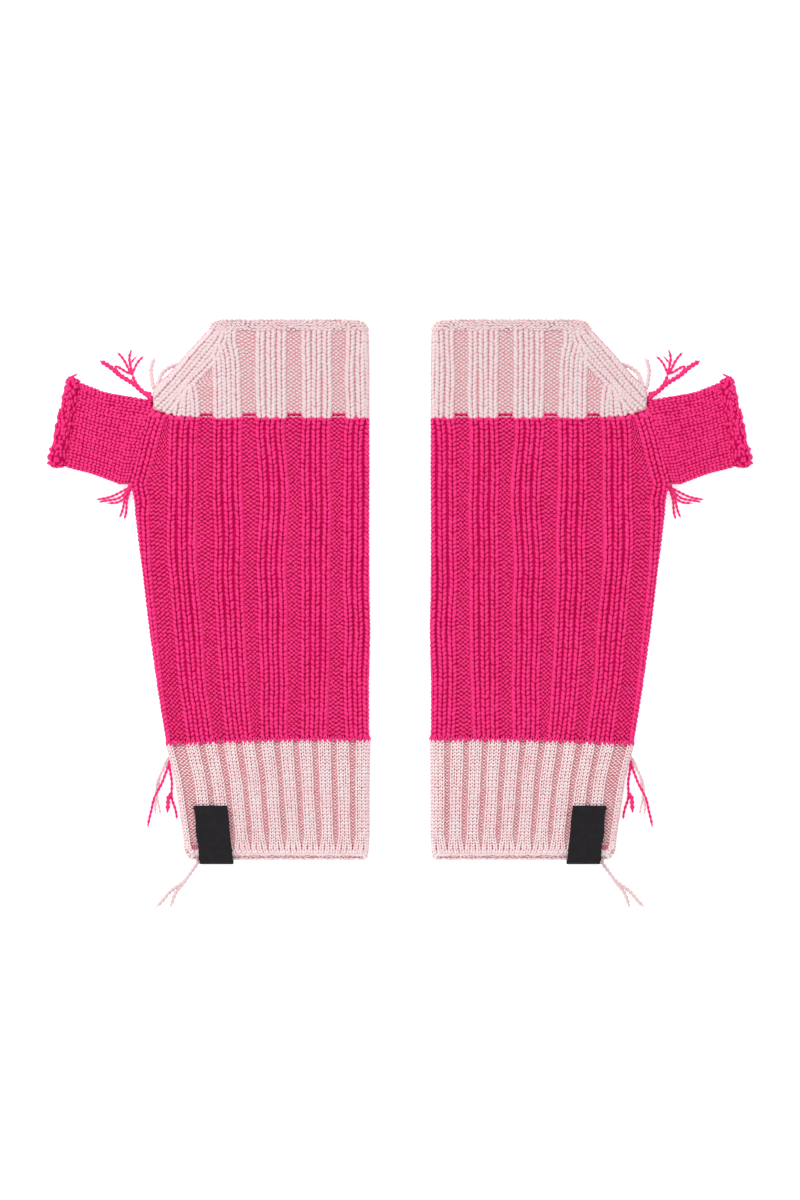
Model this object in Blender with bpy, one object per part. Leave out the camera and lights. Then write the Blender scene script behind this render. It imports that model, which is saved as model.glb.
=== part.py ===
"""A pair of fingerless rib-knit mittens, lying flat on a table with the thumbs pointing away from each other.

Each mitten is three knitted tubes in a row (cuff, palm, hand band), with a short thumb tube sewn into the palm's
side, a black label folded over the hem, and cut yarn tails left hanging at the seams. A tube that lies flat is two
layers of cloth joined at its two edges, so every tube here is a real wall round a narrow hollow, open at both ends.

Sizes are in millimetres and become metres where the meshes are made. On each mitten, u runs from the little
finger's folded edge towards the thumb, v from the hem to the fingers, and z up from the table.
"""

from collections import namedtuple
import math

import bmesh
import bpy

MM = 0.001

# The pair
PAIR_GAP = 25.2  # between the two folded edges
FINGER_EDGE_V = 227.0  # the open top, where the fingers come out
TAIL_END_V = -20.6  # the lowest yarn end, below the hem
MIDDLE_V = (FINGER_EDGE_V + TAIL_END_V) / 2  # lies on the pair's X axis

# The cloth
SEAM_GAP = 0.3  # between pieces that are knitted or sewn together
THUMB_SEAM_GAP = 0.45  # a little wider, because this seam runs round a corner
HAND_WALL = 2.4  # wide rib: palm and hand band
HAND_HEIGHT = 5.6  # two layers and the hollow between them
CUFF_WALL = 1.9  # narrow rib
CUFF_HEIGHT = 5.4
THUMB_WALL = 1.8  # plain knit
THUMB_HEIGHT = 4.4
CURL_WALL = 2.5  # the thumb's edge, rolled back on itself
CURL_HEIGHT = 6.2
CROWN = 0.4  # the top layer's rise in the middle
EDGE_INSET = 0.6  # how far an open edge rounds off
SEWN_EDGE = 0.8  # how far the palm's side rounds off where the thumb is sewn on
LEAST_ROUND = 0.3  # the tightest rounding inside a folded edge
SHARP_ANGLE = 40.0  # degrees between facets that still shade as one surface

# The label
LABEL_WIDTH = 14.0
LABEL_THICKNESS = 1.0
LABEL_TOP_V = 23.0  # its sewn upper edge, on the cuff's front
LABEL_TOP_U = 66.9  # its middle there
LABEL_FOLD_V = -1.7  # the fold, below the hem
LABEL_LEAN = 0.1  # sideways shift for each millimetre up
LABEL_INNER_V = 8.0  # where it ends inside the cuff

# The slit between the palm and the thumb
SLIT_LOW_V = 160.5
SLIT_HIGH_V = 188.5
SLIT_DEPTH = 6.0  # into the palm's hollow
SLIT_MARGIN = 0.05  # narrower than the hollow on each layer

TAIL_HEIGHT = 1.6  # how high the loose yarn ends lie
KNIT_ROUGHNESS = 0.9
LABEL_ROUGHNESS = 0.7

# Half of one ring: where its points lie between a tube's two edges, closer near the thumb side
SPREAD = (0.0, 0.12, 0.3, 0.5, 0.7, 0.84, 0.93, 0.975, 1.0)
EDGE_STEPS = 4  # facets round each folded edge
LABEL_BEND_STEPS = 6  # facets round the label's fold

HOT_PINK = (0.80, 0.027, 0.17, 1.0)
PALE_PINK = (0.79, 0.54, 0.56, 1.0)
LABEL_BLACK = (0.02, 0.02, 0.021, 1.0)

# The hand's outline: how far the folded edge and the thumb side stand at each height
Outline = namedtuple("Outline", "v fold side")
OUTLINE = (
    Outline(0.5, 1.2, 74.0),
    Outline(3.5, 0.4, 77.2),
    Outline(11.0, 0.0, 78.2),
    Outline(33.5, 0.0, 82.0),
    Outline(48.0, -0.3, 85.2),
    Outline(71.0, -0.6, 88.9),
    Outline(97.0, -0.6, 92.5),
    Outline(122.0, -0.3, 95.7),
    Outline(145.0, 0.0, 98.7),
    Outline(152.0, 0.0, 100.1),
    Outline(157.9, 0.0, 101.8),  # foot of the thumb
    Outline(166.3, 0.0, 99.6),
    Outline(177.7, 0.0, 96.8),
    Outline(186.6, 0.0, 94.0),
    Outline(192.0, 0.0, 91.4),  # top of the thumb
    Outline(197.4, 0.0, 91.6),  # foot of the slanting edge
    Outline(200.0, 0.0, 90.0),
    Outline(207.5, 0.0, 83.2),
    Outline(212.5, 0.0, 77.0),
    Outline(222.6, 0.2, 67.0),
    Outline(FINGER_EDGE_V, 1.5, 62.0),
)

# One row for each ring of a hand tube. A ring climbs from fold_v to side_v, late where bend is high.
# side_round is the rounding of the thumb-side edge, inset the rounding of an open end, and front_lift is how
# much higher the front layer's edge lies than the back one's.
Ring = namedtuple("Ring", "fold_v side_v bend side_round inset front_lift")
ROUND_HAND = HAND_HEIGHT / 2
ROUND_CUFF = CUFF_HEIGHT / 2
CUFF_RINGS = (
    Ring(0.4, 0.8, 1, ROUND_CUFF, EDGE_INSET, 1.4),
    Ring(1.4, 1.8, 1, ROUND_CUFF, 0.0, 1.4),
    Ring(4.0, 4.0, 1, ROUND_CUFF, 0.0, 0.5),
    Ring(11.0, 11.0, 1, ROUND_CUFF, 0.0, 0.0),
    Ring(22.0, 22.0, 1, ROUND_CUFF, 0.0, 0.0),
    Ring(34.0, 33.5, 1, ROUND_CUFF, 0.0, 0.0),
    Ring(49.45, 47.05, 1, ROUND_CUFF, 0.0, 0.0),
)
PALM_RINGS = (
    Ring(49.75, 47.35, 1, ROUND_HAND, 0.0, 0.0),
    Ring(60.0, 59.0, 1, ROUND_HAND, 0.0, 0.0),
    Ring(71.0, 71.0, 1, ROUND_HAND, 0.0, 0.0),
    Ring(97.0, 97.0, 1, ROUND_HAND, 0.0, 0.0),
    Ring(122.0, 122.0, 1, ROUND_HAND, 0.0, 0.0),
    Ring(143.0, 145.0, 2, ROUND_HAND, 0.0, 0.0),
    Ring(149.0, 152.0, 2, ROUND_HAND, 0.0, 0.0),
    Ring(154.5, 157.9, 3, SEWN_EDGE, 0.0, 0.0),
    Ring(162.5, 166.3, 4, SEWN_EDGE, 0.0, 0.0),
    Ring(173.0, 177.7, 6, SEWN_EDGE, 0.0, 0.0),
    Ring(181.0, 186.6, 10, SEWN_EDGE, 0.0, 0.0),
    Ring(185.95, 191.35, 24, SEWN_EDGE, 0.0, 0.0),
)
BAND_RINGS = (
    Ring(186.25, 191.65, 24, SEWN_EDGE, 0.0, 0.0),
    Ring(190.5, 194.0, 12, SEWN_EDGE, 0.0, 0.0),
    Ring(197.4, 197.4, 1, ROUND_HAND, 0.0, 0.0),
    Ring(200.0, 200.0, 1, ROUND_HAND, 0.0, 0.0),
    Ring(207.5, 207.5, 1, ROUND_HAND, 0.0, 0.0),
    Ring(212.5, 212.5, 1, ROUND_HAND, 0.0, 0.0),
    Ring(217.5, 217.5, 1, ROUND_HAND, 0.0, 0.0),
    Ring(222.6, 222.6, 1, ROUND_HAND, 0.0, 0.0),
    Ring(226.2, 226.2, 1, ROUND_HAND, 0.0, 0.0),
    Ring(FINGER_EDGE_V, FINGER_EDGE_V, 1, ROUND_HAND, EDGE_INSET, 0.0),
)

# One row for each ring of the thumb after its sewn root: its lower and upper edge, thickness and wall
ThumbRing = namedtuple("ThumbRing", "low_u low_v high_u high_v height wall inset")
ROOT_LOW_V = 157.6
ROOT_HIGH_V = 193.2
THUMB_RINGS = (
    ThumbRing(105.2, 157.6, 97.4, 194.4, HAND_HEIGHT, HAND_WALL, 0.0),
    ThumbRing(111.0, 159.8, 104.5, 195.6, THUMB_HEIGHT, THUMB_WALL, 0.0),
    ThumbRing(117.0, 162.0, 111.5, 196.9, THUMB_HEIGHT, THUMB_WALL, 0.0),
    ThumbRing(127.8, 164.8, 121.5, 200.9, THUMB_HEIGHT, THUMB_WALL, 0.0),
    ThumbRing(130.4, 164.9, 124.4, 202.3, CURL_HEIGHT, CURL_WALL, 0.0),
    ThumbRing(133.8, 165.2, 127.8, 203.6, CURL_HEIGHT, CURL_WALL, 0.0),
    ThumbRing(135.0, 165.8, 129.0, 203.6, CURL_HEIGHT, CURL_WALL, 1.0),
)

# The reach of each tuft of loose yarn: two points of its root, beside the seam, and its free ends
Tuft = namedtuple("Tuft", "name colour root ends")
TUFTS = (
    Tuft(
        name="tails_thumb_top",
        colour="hot_pink_knit",
        root=((93.2, 193.9), (96.2, 194.5)),
        ends=((114.0, 210.4), (106.9, 214.2), (100.6, 215.0), (95.2, 212.5)),
    ),
    Tuft(
        name="tails_thumb_top_pale",
        colour="pale_pink_knit",
        root=((91.6, 198.2), (90.6, 200.1)),
        ends=((92.6, 205.4), (90.6, 211.6), (88.0, 206.2)),
    ),
    Tuft(
        name="tails_thumb_root",
        colour="hot_pink_knit",
        root=((101.6, 155.2), (101.1, 153.7)),
        ends=((115.7, 151.2), (111.1, 149.9), (105.6, 142.8), (104.0, 142.8)),
    ),
    Tuft(
        name="tails_cuff",
        colour="hot_pink_knit",
        root=((85.0, 44.5), (84.3, 41.5)),
        ends=((90.5, 24.0), (93.5, 13.0), (88.4, 18.1), (81.3, 16.4)),
    ),
    Tuft(
        name="tail_hem",
        colour="pale_pink_knit",
        root=((72.4, -0.1), (71.2, -0.1)),
        ends=((75.4, -5.9), (90.5, TAIL_END_V), (84.6, TAIL_END_V)),
    ),
)


def clear_scene():
    for thing in list(bpy.data.objects):
        bpy.data.objects.remove(thing, do_unlink=True)


def make_material(name, colour, roughness):
    material = bpy.data.materials.new(name)
    material.use_nodes = True
    shader = material.node_tree.nodes["Principled BSDF"]
    shader.inputs["Base Color"].default_value = colour
    shader.inputs["Roughness"].default_value = roughness
    shader.inputs["Metallic"].default_value = 0.0
    material.diffuse_color = colour
    return material


def mix(a, b, t):
    return a + (b - a) * t


def outline_at(v):
    """The folded edge's and the thumb side's u at height v, straight between the table's rows."""
    if v <= OUTLINE[0].v:
        return OUTLINE[0].fold, OUTLINE[0].side
    for low, high in zip(OUTLINE, OUTLINE[1:]):
        if v <= high.v:
            t = (v - low.v) / (high.v - low.v)
            return mix(low.fold, high.fold, t), mix(low.side, high.side, t)
    return OUTLINE[-1].fold, OUTLINE[-1].side


def flat_ring(width, height, first_round, second_round, inset):
    """Points (a, z) round a flattened tube, a running from 0 to width: along the table, up the far edge,
    back over the crowned top and down the near edge. The inset draws the ring in evenly."""
    first = max(first_round - inset, LEAST_ROUND)
    second = max(second_round - inset, LEAST_ROUND)
    left = inset + first
    right = width - inset - second
    half = height / 2 - inset
    points = [(mix(left, right, t), inset) for t in SPREAD]
    for step in range(1, EDGE_STEPS):
        turn = math.pi * step / EDGE_STEPS
        points.append((right + second * math.sin(turn), height / 2 - half * math.cos(turn)))
    for t in reversed(SPREAD):
        points.append((mix(left, right, t), height - inset + CROWN * 4 * t * (1 - t)))
    for step in range(1, EDGE_STEPS):
        turn = math.pi * step / EDGE_STEPS
        points.append((left - first * math.sin(turn), height / 2 + half * math.cos(turn)))
    return points


def hand_ring(row, height, inset):
    """One ring of a hand tube, as (u, v, z) points."""
    fold_u = outline_at(row.fold_v)[0]
    side_u = outline_at(row.side_v)[1]
    width = side_u - fold_u
    ring = []
    for a, z in flat_ring(width, height, height / 2, row.side_round, inset):
        share = min(max(a / width, 0.0), 1.0)
        climb = (row.side_v - row.fold_v) * share**row.bend
        ring.append((fold_u + a, row.fold_v + climb + row.front_lift * z / height, z))
    return ring


def hand_tube(rows, height, wall):
    outer = [hand_ring(row, height, row.inset) for row in rows]
    inner = [hand_ring(row, height, wall) for row in rows]
    return outer, inner


def thumb_root(inset):
    """The thumb's sewn end, which follows the palm's side with the seam's gap."""
    length = ROOT_HIGH_V - ROOT_LOW_V
    ring = []
    for a, z in flat_ring(length, HAND_HEIGHT, HAND_HEIGHT / 2, HAND_HEIGHT / 2, inset):
        v = ROOT_LOW_V + a
        ring.append((outline_at(v)[1] + THUMB_SEAM_GAP, v, z))
    return ring


def thumb_ring(row, inset):
    width = math.hypot(row.high_u - row.low_u, row.high_v - row.low_v)
    ring = []
    for a, z in flat_ring(width, row.height, row.height / 2, row.height / 2, inset):
        ring.append((mix(row.low_u, row.high_u, a / width), mix(row.low_v, row.high_v, a / width), z))
    return ring


def thumb_tube():
    outer = [thumb_root(0.0)] + [thumb_ring(row, row.inset) for row in THUMB_RINGS]
    inner = [thumb_root(HAND_WALL)] + [thumb_ring(row, row.wall) for row in THUMB_RINGS]
    return outer, inner


def loft_wall(bm, outer, inner):
    """Skin a tube's outer and inner rings and close the wall at both open ends."""
    outer_rows = [[bm.verts.new(point) for point in ring] for ring in outer]
    inner_rows = [[bm.verts.new(point) for point in ring] for ring in inner]
    for rows in (outer_rows, inner_rows):
        for low, high in zip(rows, rows[1:]):
            skin(bm, low, high)
    skin(bm, outer_rows[0], inner_rows[0])
    skin(bm, outer_rows[-1], inner_rows[-1])


def skin(bm, low, high):
    for i in range(len(low)):
        j = (i + 1) % len(low)
        bm.faces.new((low[i], low[j], high[j], high[i]))


def loft_solid(bm, rings):
    """Skin a row of closed sections and fill both ends."""
    rows = [[bm.verts.new(point) for point in ring] for ring in rings]
    for low, high in zip(rows, rows[1:]):
        skin(bm, low, high)
    bm.faces.new(rows[0])
    bm.faces.new(rows[-1])


def cuff_crown(u, v):
    """How far the cuff's front layer rises over its edges at a point."""
    fold, side = outline_at(v)
    share = (u - fold - ROUND_CUFF) / (side - fold - 2 * ROUND_CUFF)
    return CROWN * 4 * share * (1 - share)


def label_path():
    """The label's middle line as (v, height), from its sewn edge over the hem into the cuff's mouth."""
    front = CUFF_HEIGHT + SEAM_GAP + LABEL_THICKNESS / 2
    mouth = CUFF_HEIGHT / 2
    fold = LABEL_FOLD_V + LABEL_THICKNESS / 2
    bend = (front - mouth) / 2
    straight = fold + bend + LABEL_THICKNESS
    path = [(mix(LABEL_TOP_V, straight, step / 3), front) for step in range(4)]
    for step in range(LABEL_BEND_STEPS + 1):
        turn = math.pi * step / LABEL_BEND_STEPS
        path.append((fold + bend * (1 - math.sin(turn)), mouth + bend * (1 + math.cos(turn))))
    path += [(straight, mouth), (LABEL_INNER_V, mouth)]
    return path


def label_sections():
    """A rectangle across the strip at each point of its path, square to the path, the outer leg lying on
    the cuff's crown."""
    path = label_path()
    front, mouth = path[0][1], path[-1][1]
    sections = []
    for i, (v, z) in enumerate(path):
        before = path[max(i - 1, 0)]
        after = path[min(i + 1, len(path) - 1)]
        along_v, along_z = after[0] - before[0], after[1] - before[1]
        scale = LABEL_THICKNESS / 2 / math.hypot(along_v, along_z)
        out_v, out_z = -along_z * scale, along_v * scale
        middle = LABEL_TOP_U + (v - LABEL_TOP_V) * LABEL_LEAN
        low_u, high_u = middle - LABEL_WIDTH / 2, middle + LABEL_WIDTH / 2
        lift = (z - mouth) / (front - mouth)
        low_z, high_z = z + cuff_crown(low_u, v) * lift, z + cuff_crown(high_u, v) * lift
        sections.append(
            [
                (low_u, v - out_v, low_z - out_z),
                (high_u, v - out_v, high_z - out_z),
                (high_u, v + out_v, high_z + out_z),
                (low_u, v + out_v, low_z + out_z),
            ]
        )
    return sections


def turn_of(a, b, c):
    """Above zero where the way from a over b to c turns left."""
    return (b[0] - a[0]) * (c[1] - a[1]) - (b[1] - a[1]) * (c[0] - a[0])


def half_hull(points):
    """One side of a flat group's outside, keeping only left turns."""
    chain = []
    for point in points:
        while len(chain) > 1 and turn_of(chain[-2], chain[-1], point) <= 0:
            chain.pop()
        chain.append(point)
    return chain[:-1]


def hull(points):
    """The points round the outside of a flat group, in order."""
    ordered = sorted(set(points))
    return half_hull(ordered) + half_hull(reversed(ordered))


def prism_sections(points, low_z, high_z):
    return [[(u, v, z) for u, v in points] for z in (low_z, high_z)]


def slit_sections():
    """The cutter that opens the palm's side into the thumb, inside the hollow's height."""
    low_u = outline_at(SLIT_LOW_V)[1]
    high_u = outline_at(SLIT_HIGH_V)[1]
    points = (
        (low_u - SLIT_DEPTH, SLIT_LOW_V),
        (low_u + SEWN_EDGE, SLIT_LOW_V),
        (high_u + SEWN_EDGE, SLIT_HIGH_V),
        (high_u - SLIT_DEPTH, SLIT_HIGH_V),
    )
    return prism_sections(points, HAND_WALL + SLIT_MARGIN, HAND_HEIGHT - HAND_WALL - SLIT_MARGIN)


def finish(bm, name, side, parent, material=None):
    """Turn millimetres on one mitten into an object: u runs to the left on the left mitten."""
    for vertex in bm.verts:
        u, v, z = vertex.co
        vertex.co = (side * u * MM, v * MM, z * MM)
    bmesh.ops.recalc_face_normals(bm, faces=bm.faces)
    bmesh.ops.triangulate(bm, faces=bm.faces)
    mesh = bpy.data.meshes.new(name)
    bm.to_mesh(mesh)
    bm.free()
    mesh.shade_smooth()
    mesh.set_sharp_from_angle(angle=math.radians(SHARP_ANGLE))
    thing = bpy.data.objects.new(name, mesh)
    bpy.context.scene.collection.objects.link(thing)
    thing.parent = parent
    if material:
        mesh.materials.append(material)
    return thing


def make_tube(name, walls, side, parent, material):
    bm = bmesh.new()
    loft_wall(bm, *walls)
    return finish(bm, name, side, parent, material)


def make_solid(name, sections, side, parent, material=None):
    bm = bmesh.new()
    loft_solid(bm, sections)
    return finish(bm, name, side, parent, material)


def cut_slit(palm, prefix, side, parent):
    cutter = make_solid(prefix + "_slit_cutter", slit_sections(), side, parent)
    cutter.hide_render = True
    cutter.display_type = "WIRE"
    slit = palm.modifiers.new("slit", "BOOLEAN")
    slit.operation = "DIFFERENCE"
    slit.solver = "EXACT"
    slit.object = cutter


def make_mitten(prefix, side, materials):
    """One mitten: side is -1 with the thumb to the left, +1 with the thumb to the right."""
    hem = bpy.data.objects.new(prefix + "_mitten", None)
    hem.location = (side * PAIR_GAP / 2 * MM, -MIDDLE_V * MM, 0.0)
    bpy.context.scene.collection.objects.link(hem)
    hot, pale = materials["hot_pink_knit"], materials["pale_pink_knit"]
    make_tube(prefix + "_cuff", hand_tube(CUFF_RINGS, CUFF_HEIGHT, CUFF_WALL), side, hem, pale)
    palm = make_tube(prefix + "_palm", hand_tube(PALM_RINGS, HAND_HEIGHT, HAND_WALL), side, hem, hot)
    make_tube(prefix + "_hand_band", hand_tube(BAND_RINGS, HAND_HEIGHT, HAND_WALL), side, hem, pale)
    make_tube(prefix + "_thumb", thumb_tube(), side, hem, hot)
    make_solid(prefix + "_label", label_sections(), side, hem, materials["black_label"])
    for tuft in TUFTS:
        reach = prism_sections(hull(tuft.root + tuft.ends), 0.0, TAIL_HEIGHT)
        make_solid(prefix + "_" + tuft.name, reach, side, hem, materials[tuft.colour])
    cut_slit(palm, prefix, side, hem)


clear_scene()
MATERIALS = {
    "hot_pink_knit": make_material("hot_pink_knit", HOT_PINK, KNIT_ROUGHNESS),
    "pale_pink_knit": make_material("pale_pink_knit", PALE_PINK, KNIT_ROUGHNESS),
    "black_label": make_material("black_label", LABEL_BLACK, LABEL_ROUGHNESS),
}
make_mitten("left", -1, MATERIALS)
make_mitten("right", 1, MATERIALS)
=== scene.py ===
# %% [markdown]
# # A pair of fingerless knitted mittens, laid flat
#
# This lesson dresses a plain CAD model of two mittens in knitting. The CAD model gives true sizes: each
# tube of cloth is a flattened wall. Here every tube gets a thin cloth with the ribs' relief, and on it the
# yarn itself: thousands of small stitches, set out row by row as a knitting machine makes them, by one
# Geometry Nodes tree.
#
# We work on one mitten in millimetres. u runs from the little finger's folded edge towards the thumb, v
# from the hem up to the fingers, and z up from the table. Each piece is made twice, once for each hand.

# %% Load the imported model
import math
from collections import namedtuple

import bpy
import numpy as np
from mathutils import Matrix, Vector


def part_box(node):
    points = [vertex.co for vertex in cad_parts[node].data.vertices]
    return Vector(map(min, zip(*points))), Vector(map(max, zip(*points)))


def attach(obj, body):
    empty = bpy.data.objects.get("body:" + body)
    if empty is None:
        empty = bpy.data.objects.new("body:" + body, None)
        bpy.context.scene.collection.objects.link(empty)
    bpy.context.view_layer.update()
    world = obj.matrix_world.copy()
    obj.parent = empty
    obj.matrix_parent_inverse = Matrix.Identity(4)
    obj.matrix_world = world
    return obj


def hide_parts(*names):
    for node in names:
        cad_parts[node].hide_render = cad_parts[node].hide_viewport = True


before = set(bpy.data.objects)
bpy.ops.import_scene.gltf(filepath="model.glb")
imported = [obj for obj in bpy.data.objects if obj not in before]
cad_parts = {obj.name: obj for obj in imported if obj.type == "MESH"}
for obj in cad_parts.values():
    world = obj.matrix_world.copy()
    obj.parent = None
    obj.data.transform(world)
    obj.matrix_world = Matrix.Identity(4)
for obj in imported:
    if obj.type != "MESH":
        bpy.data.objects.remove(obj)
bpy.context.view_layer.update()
MM = 0.001

# %% [markdown]
# ## Table, light and camera
# The photograph is taken from straight above on a pale, brightly lit table, so bright that the table turns
# white and swallows every shadow. A slightly glowing floor does the same here. The knitting is lit by a
# soft white sky and one large lamp from the upper left, which gives each stitch a light and a dark flank.

# %% The camera, straight above the table
PHOTO_LENGTH = 0.504  # metres of table along the photograph's long side
LENS = 100.0
FILM = 36.0
PHOTO_MIDDLE_Y = 0.006
CLOTH_TOP = 0.005


def look_down():
    data = bpy.data.cameras.new("photo_camera")
    data.lens = LENS
    data.sensor_fit = "VERTICAL"
    data.sensor_height = FILM
    data.clip_end = 20.0
    camera = bpy.data.objects.new("photo_camera", data)
    camera.location = (0.0, PHOTO_MIDDLE_Y, CLOTH_TOP + PHOTO_LENGTH * LENS / FILM)
    bpy.context.scene.collection.objects.link(camera)
    bpy.context.scene.camera = camera
    return camera


print("camera height in m:", round(look_down().location.z, 3))


# %% Small helpers for material nodes
def srgb(red, green, blue):
    """A colour as a paint program gives it, 0 to 255, turned into the linear values that Blender works in."""
    parts = [value / 255 for value in (red, green, blue)]
    linear = [p / 12.92 if p <= 0.04045 else ((p + 0.055) / 1.055) ** 2.4 for p in parts]
    return (*linear, 1.0)


def add_node(tree, kind, inputs=None, **settings):
    """A new node with its settings, and its inputs set to a value or linked from another node's output."""
    node = tree.nodes.new(kind)
    for name, value in settings.items():
        setattr(node, name, value)
    for name, value in (inputs or {}).items():
        if isinstance(value, bpy.types.NodeSocket):
            tree.links.new(value, node.inputs[name])
        else:
            node.inputs[name].default_value = value
    return node


def calculate(tree, operation, *values):
    """What a math node makes of two or three values, each a number or another node's output."""
    return add_node(tree, "ShaderNodeMath", dict(enumerate(values)), operation=operation).outputs[0]


def new_material(name, roughness, sheen=0.0, sheen_tint=(1.0, 1.0, 1.0, 1.0)):
    material = bpy.data.materials.new(name)
    material.use_nodes = True
    shader = material.node_tree.nodes["Principled BSDF"]
    shader.inputs["Roughness"].default_value = roughness
    shader.inputs["Specular IOR Level"].default_value = 0.12
    shader.inputs["Sheen Weight"].default_value = sheen
    shader.inputs["Sheen Roughness"].default_value = 0.5
    shader.inputs["Sheen Tint"].default_value = sheen_tint
    return material, material.node_tree, shader


# %% Helpers that several materials use
def noise(tree, place, scale, detail=2.0):
    """An uneven value over the piece's own coordinates."""
    inputs = {"Vector": place.outputs["Object"], "Scale": scale, "Detail": detail}
    return add_node(tree, "ShaderNodeTexNoise", inputs).outputs["Fac"]


def stretched(tree, value, low, high):
    """The value, stretched so that low becomes 0 and high becomes 1."""
    inputs = {"Value": value, "From Min": low, "From Max": high}
    return add_node(tree, "ShaderNodeMapRange", inputs).outputs["Result"]


def paint(tree, shader, share, first, second):
    """Colours the shader between two colours."""
    mix = add_node(tree, "ShaderNodeMix", {"Factor": share, "A": first, "B": second}, data_type="RGBA")
    tree.links.new(mix.outputs["Result"], shader.inputs["Base Color"])


def bumps_from(tree, height, distance, strength, **more):
    """The normal of a surface that a height makes bumpy."""
    inputs = {"Height": height, "Distance": distance, "Strength": strength}
    return add_node(tree, "ShaderNodeBump", inputs, **more)


# %% The table and the light
TABLE_SIZE = 6.0
TABLE_WHITE = (0.9, 0.9, 0.9, 1.0)
TABLE_GLOW = 0.55
WHITE = (1.0, 1.0, 1.0, 1.0)
SKY_STRENGTH = 0.87
LAMP_PLACE = (-0.9, 0.9, 1.1)
LAMP_SIZE = 0.6
LAMP_POWER = 10.5


def lay_table():
    half = TABLE_SIZE / 2
    mesh = bpy.data.meshes.new("table")
    corners = [(-half, -half, 0.0), (half, -half, 0.0), (half, half, 0.0), (-half, half, 0.0)]
    mesh.from_pydata(corners, [], [(0, 1, 2, 3)])
    table = bpy.data.objects.new("table", mesh)
    bpy.context.scene.collection.objects.link(table)
    material, _, shader = new_material("pale_table", 0.9)
    shader.inputs["Base Color"].default_value = TABLE_WHITE
    shader.inputs["Emission Color"].default_value = WHITE
    shader.inputs["Emission Strength"].default_value = TABLE_GLOW
    mesh.materials.append(material)
    return table


def add_lamp(name, place, target, size, power):
    data = bpy.data.lights.new(name, "AREA")
    data.shape = "DISK"
    data.size = size
    data.energy = power
    lamp = bpy.data.objects.new(name, data)
    lamp.location = place
    way = np.array(target) - np.array(place)
    turn = math.atan2(way[1], way[0])
    tilt = math.atan2(math.hypot(way[0], way[1]), -way[2])
    lamp.rotation_euler = (tilt, 0.0, turn - math.pi / 2)
    bpy.context.scene.collection.objects.link(lamp)
    return lamp


def light_the_table():
    world = bpy.data.worlds.new("white_studio")
    world.use_nodes = True
    sky = world.node_tree.nodes["Background"]
    sky.inputs["Color"].default_value = WHITE
    sky.inputs["Strength"].default_value = SKY_STRENGTH
    bpy.context.scene.world = world
    bpy.context.scene.view_settings.view_transform = "Standard"
    add_lamp("upper_left_lamp", LAMP_PLACE, (0.0, 0.0, 0.0), LAMP_SIZE, LAMP_POWER)


lay_table()
light_the_table()

# %% [markdown]
# ## The yarn
# Soft wool yarn has a matt face with a faint silky sheen, a slight twist of its plies and fine hairs. The
# colour changes a little from stitch to stitch, and painted shade darkens it on the flanks, towards the gaps.
# Each stitch carries a random number called tone, a height that is low on its flanks and sets that painted
# shade, and a UV map that runs along the yarn and around it, so the twist can follow the yarn.
#
# The cuff is knitted of the same pale yarn, but finer. Its small stitches catch more light, and those down
# in its channels much less, so the cuff's ribs get a copy of the yarn with painted light, and its channels
# a copy with painted shade.


# %% Yarn materials
def yarn_material(name, light, shaded, sheen_tint):
    material, tree, shader = new_material(name, 0.8, 0.06, sheen_tint)
    tone = add_node(tree, "ShaderNodeAttribute", attribute_name="tone").outputs["Fac"]
    height = add_node(tree, "ShaderNodeAttribute", attribute_name="height").outputs["Fac"]
    place = add_node(tree, "ShaderNodeTexCoord")
    hairs = noise(tree, place, 2400.0)
    # the colour mixes random tone, painted shade from the height (low flanks and ends darker), mottled
    # patches and hairs
    amount = calculate(tree, "MULTIPLY", tone, 0.35)
    for part, share in ((height, 0.8), (noise(tree, place, 90.0), 0.4), (hairs, 0.3)):
        amount = calculate(tree, "MULTIPLY_ADD", part, share, amount)
    paint(tree, shader, stretched(tree, amount, 0.1, 1.05), shaded, light)
    tree.links.new(yarn_bump(tree, place, hairs), shader.inputs["Normal"])
    return material


def yarn_bump(tree, place, hairs):
    """The ply's twist, drawn as slanting bands along the yarn's UV map, with fine hairs over it."""
    inputs = {"Vector": place.outputs["UV"], "Scale": 0.9, "Distortion": 1.2, "Detail": 1.0}
    twist = add_node(tree, "ShaderNodeTexWave", inputs, wave_type="BANDS", bands_direction="DIAGONAL")
    plies = bumps_from(tree, twist.outputs["Fac"], 0.0001, 0.45)
    fuzz = bumps_from(tree, hairs, 0.0001, 0.4)
    tree.links.new(plies.outputs["Normal"], fuzz.inputs["Normal"])
    return fuzz.outputs["Normal"]


HOT_SHEEN = (1.0, 0.5, 0.7, 1.0)
PALE_SHEEN = (1.0, 0.9, 0.92, 1.0)
HOT_YARN = yarn_material("hot_pink_yarn", srgb(255, 60, 140), srgb(214, 0, 90), HOT_SHEEN)
PALE_YARN = yarn_material("pale_pink_yarn", srgb(232, 213, 215), srgb(245, 176, 184), PALE_SHEEN)
# a copy of the pale yarn with painted light, for the cuff's ribs and hem, and one with painted shade, for the
# cuff's channels
LIT_FINE_YARN = yarn_material("pale_pink_fine_yarn", srgb(251, 236, 237), srgb(245, 172, 181), PALE_SHEEN)
SHADED_SUNK_YARN = yarn_material("pale_pink_sunk_yarn", srgb(254, 232, 233), srgb(230, 144, 155), PALE_SHEEN)
print("yarns:", [yarn.name for yarn in (HOT_YARN, PALE_YARN, LIT_FINE_YARN, SHADED_SUNK_YARN)])
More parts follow.
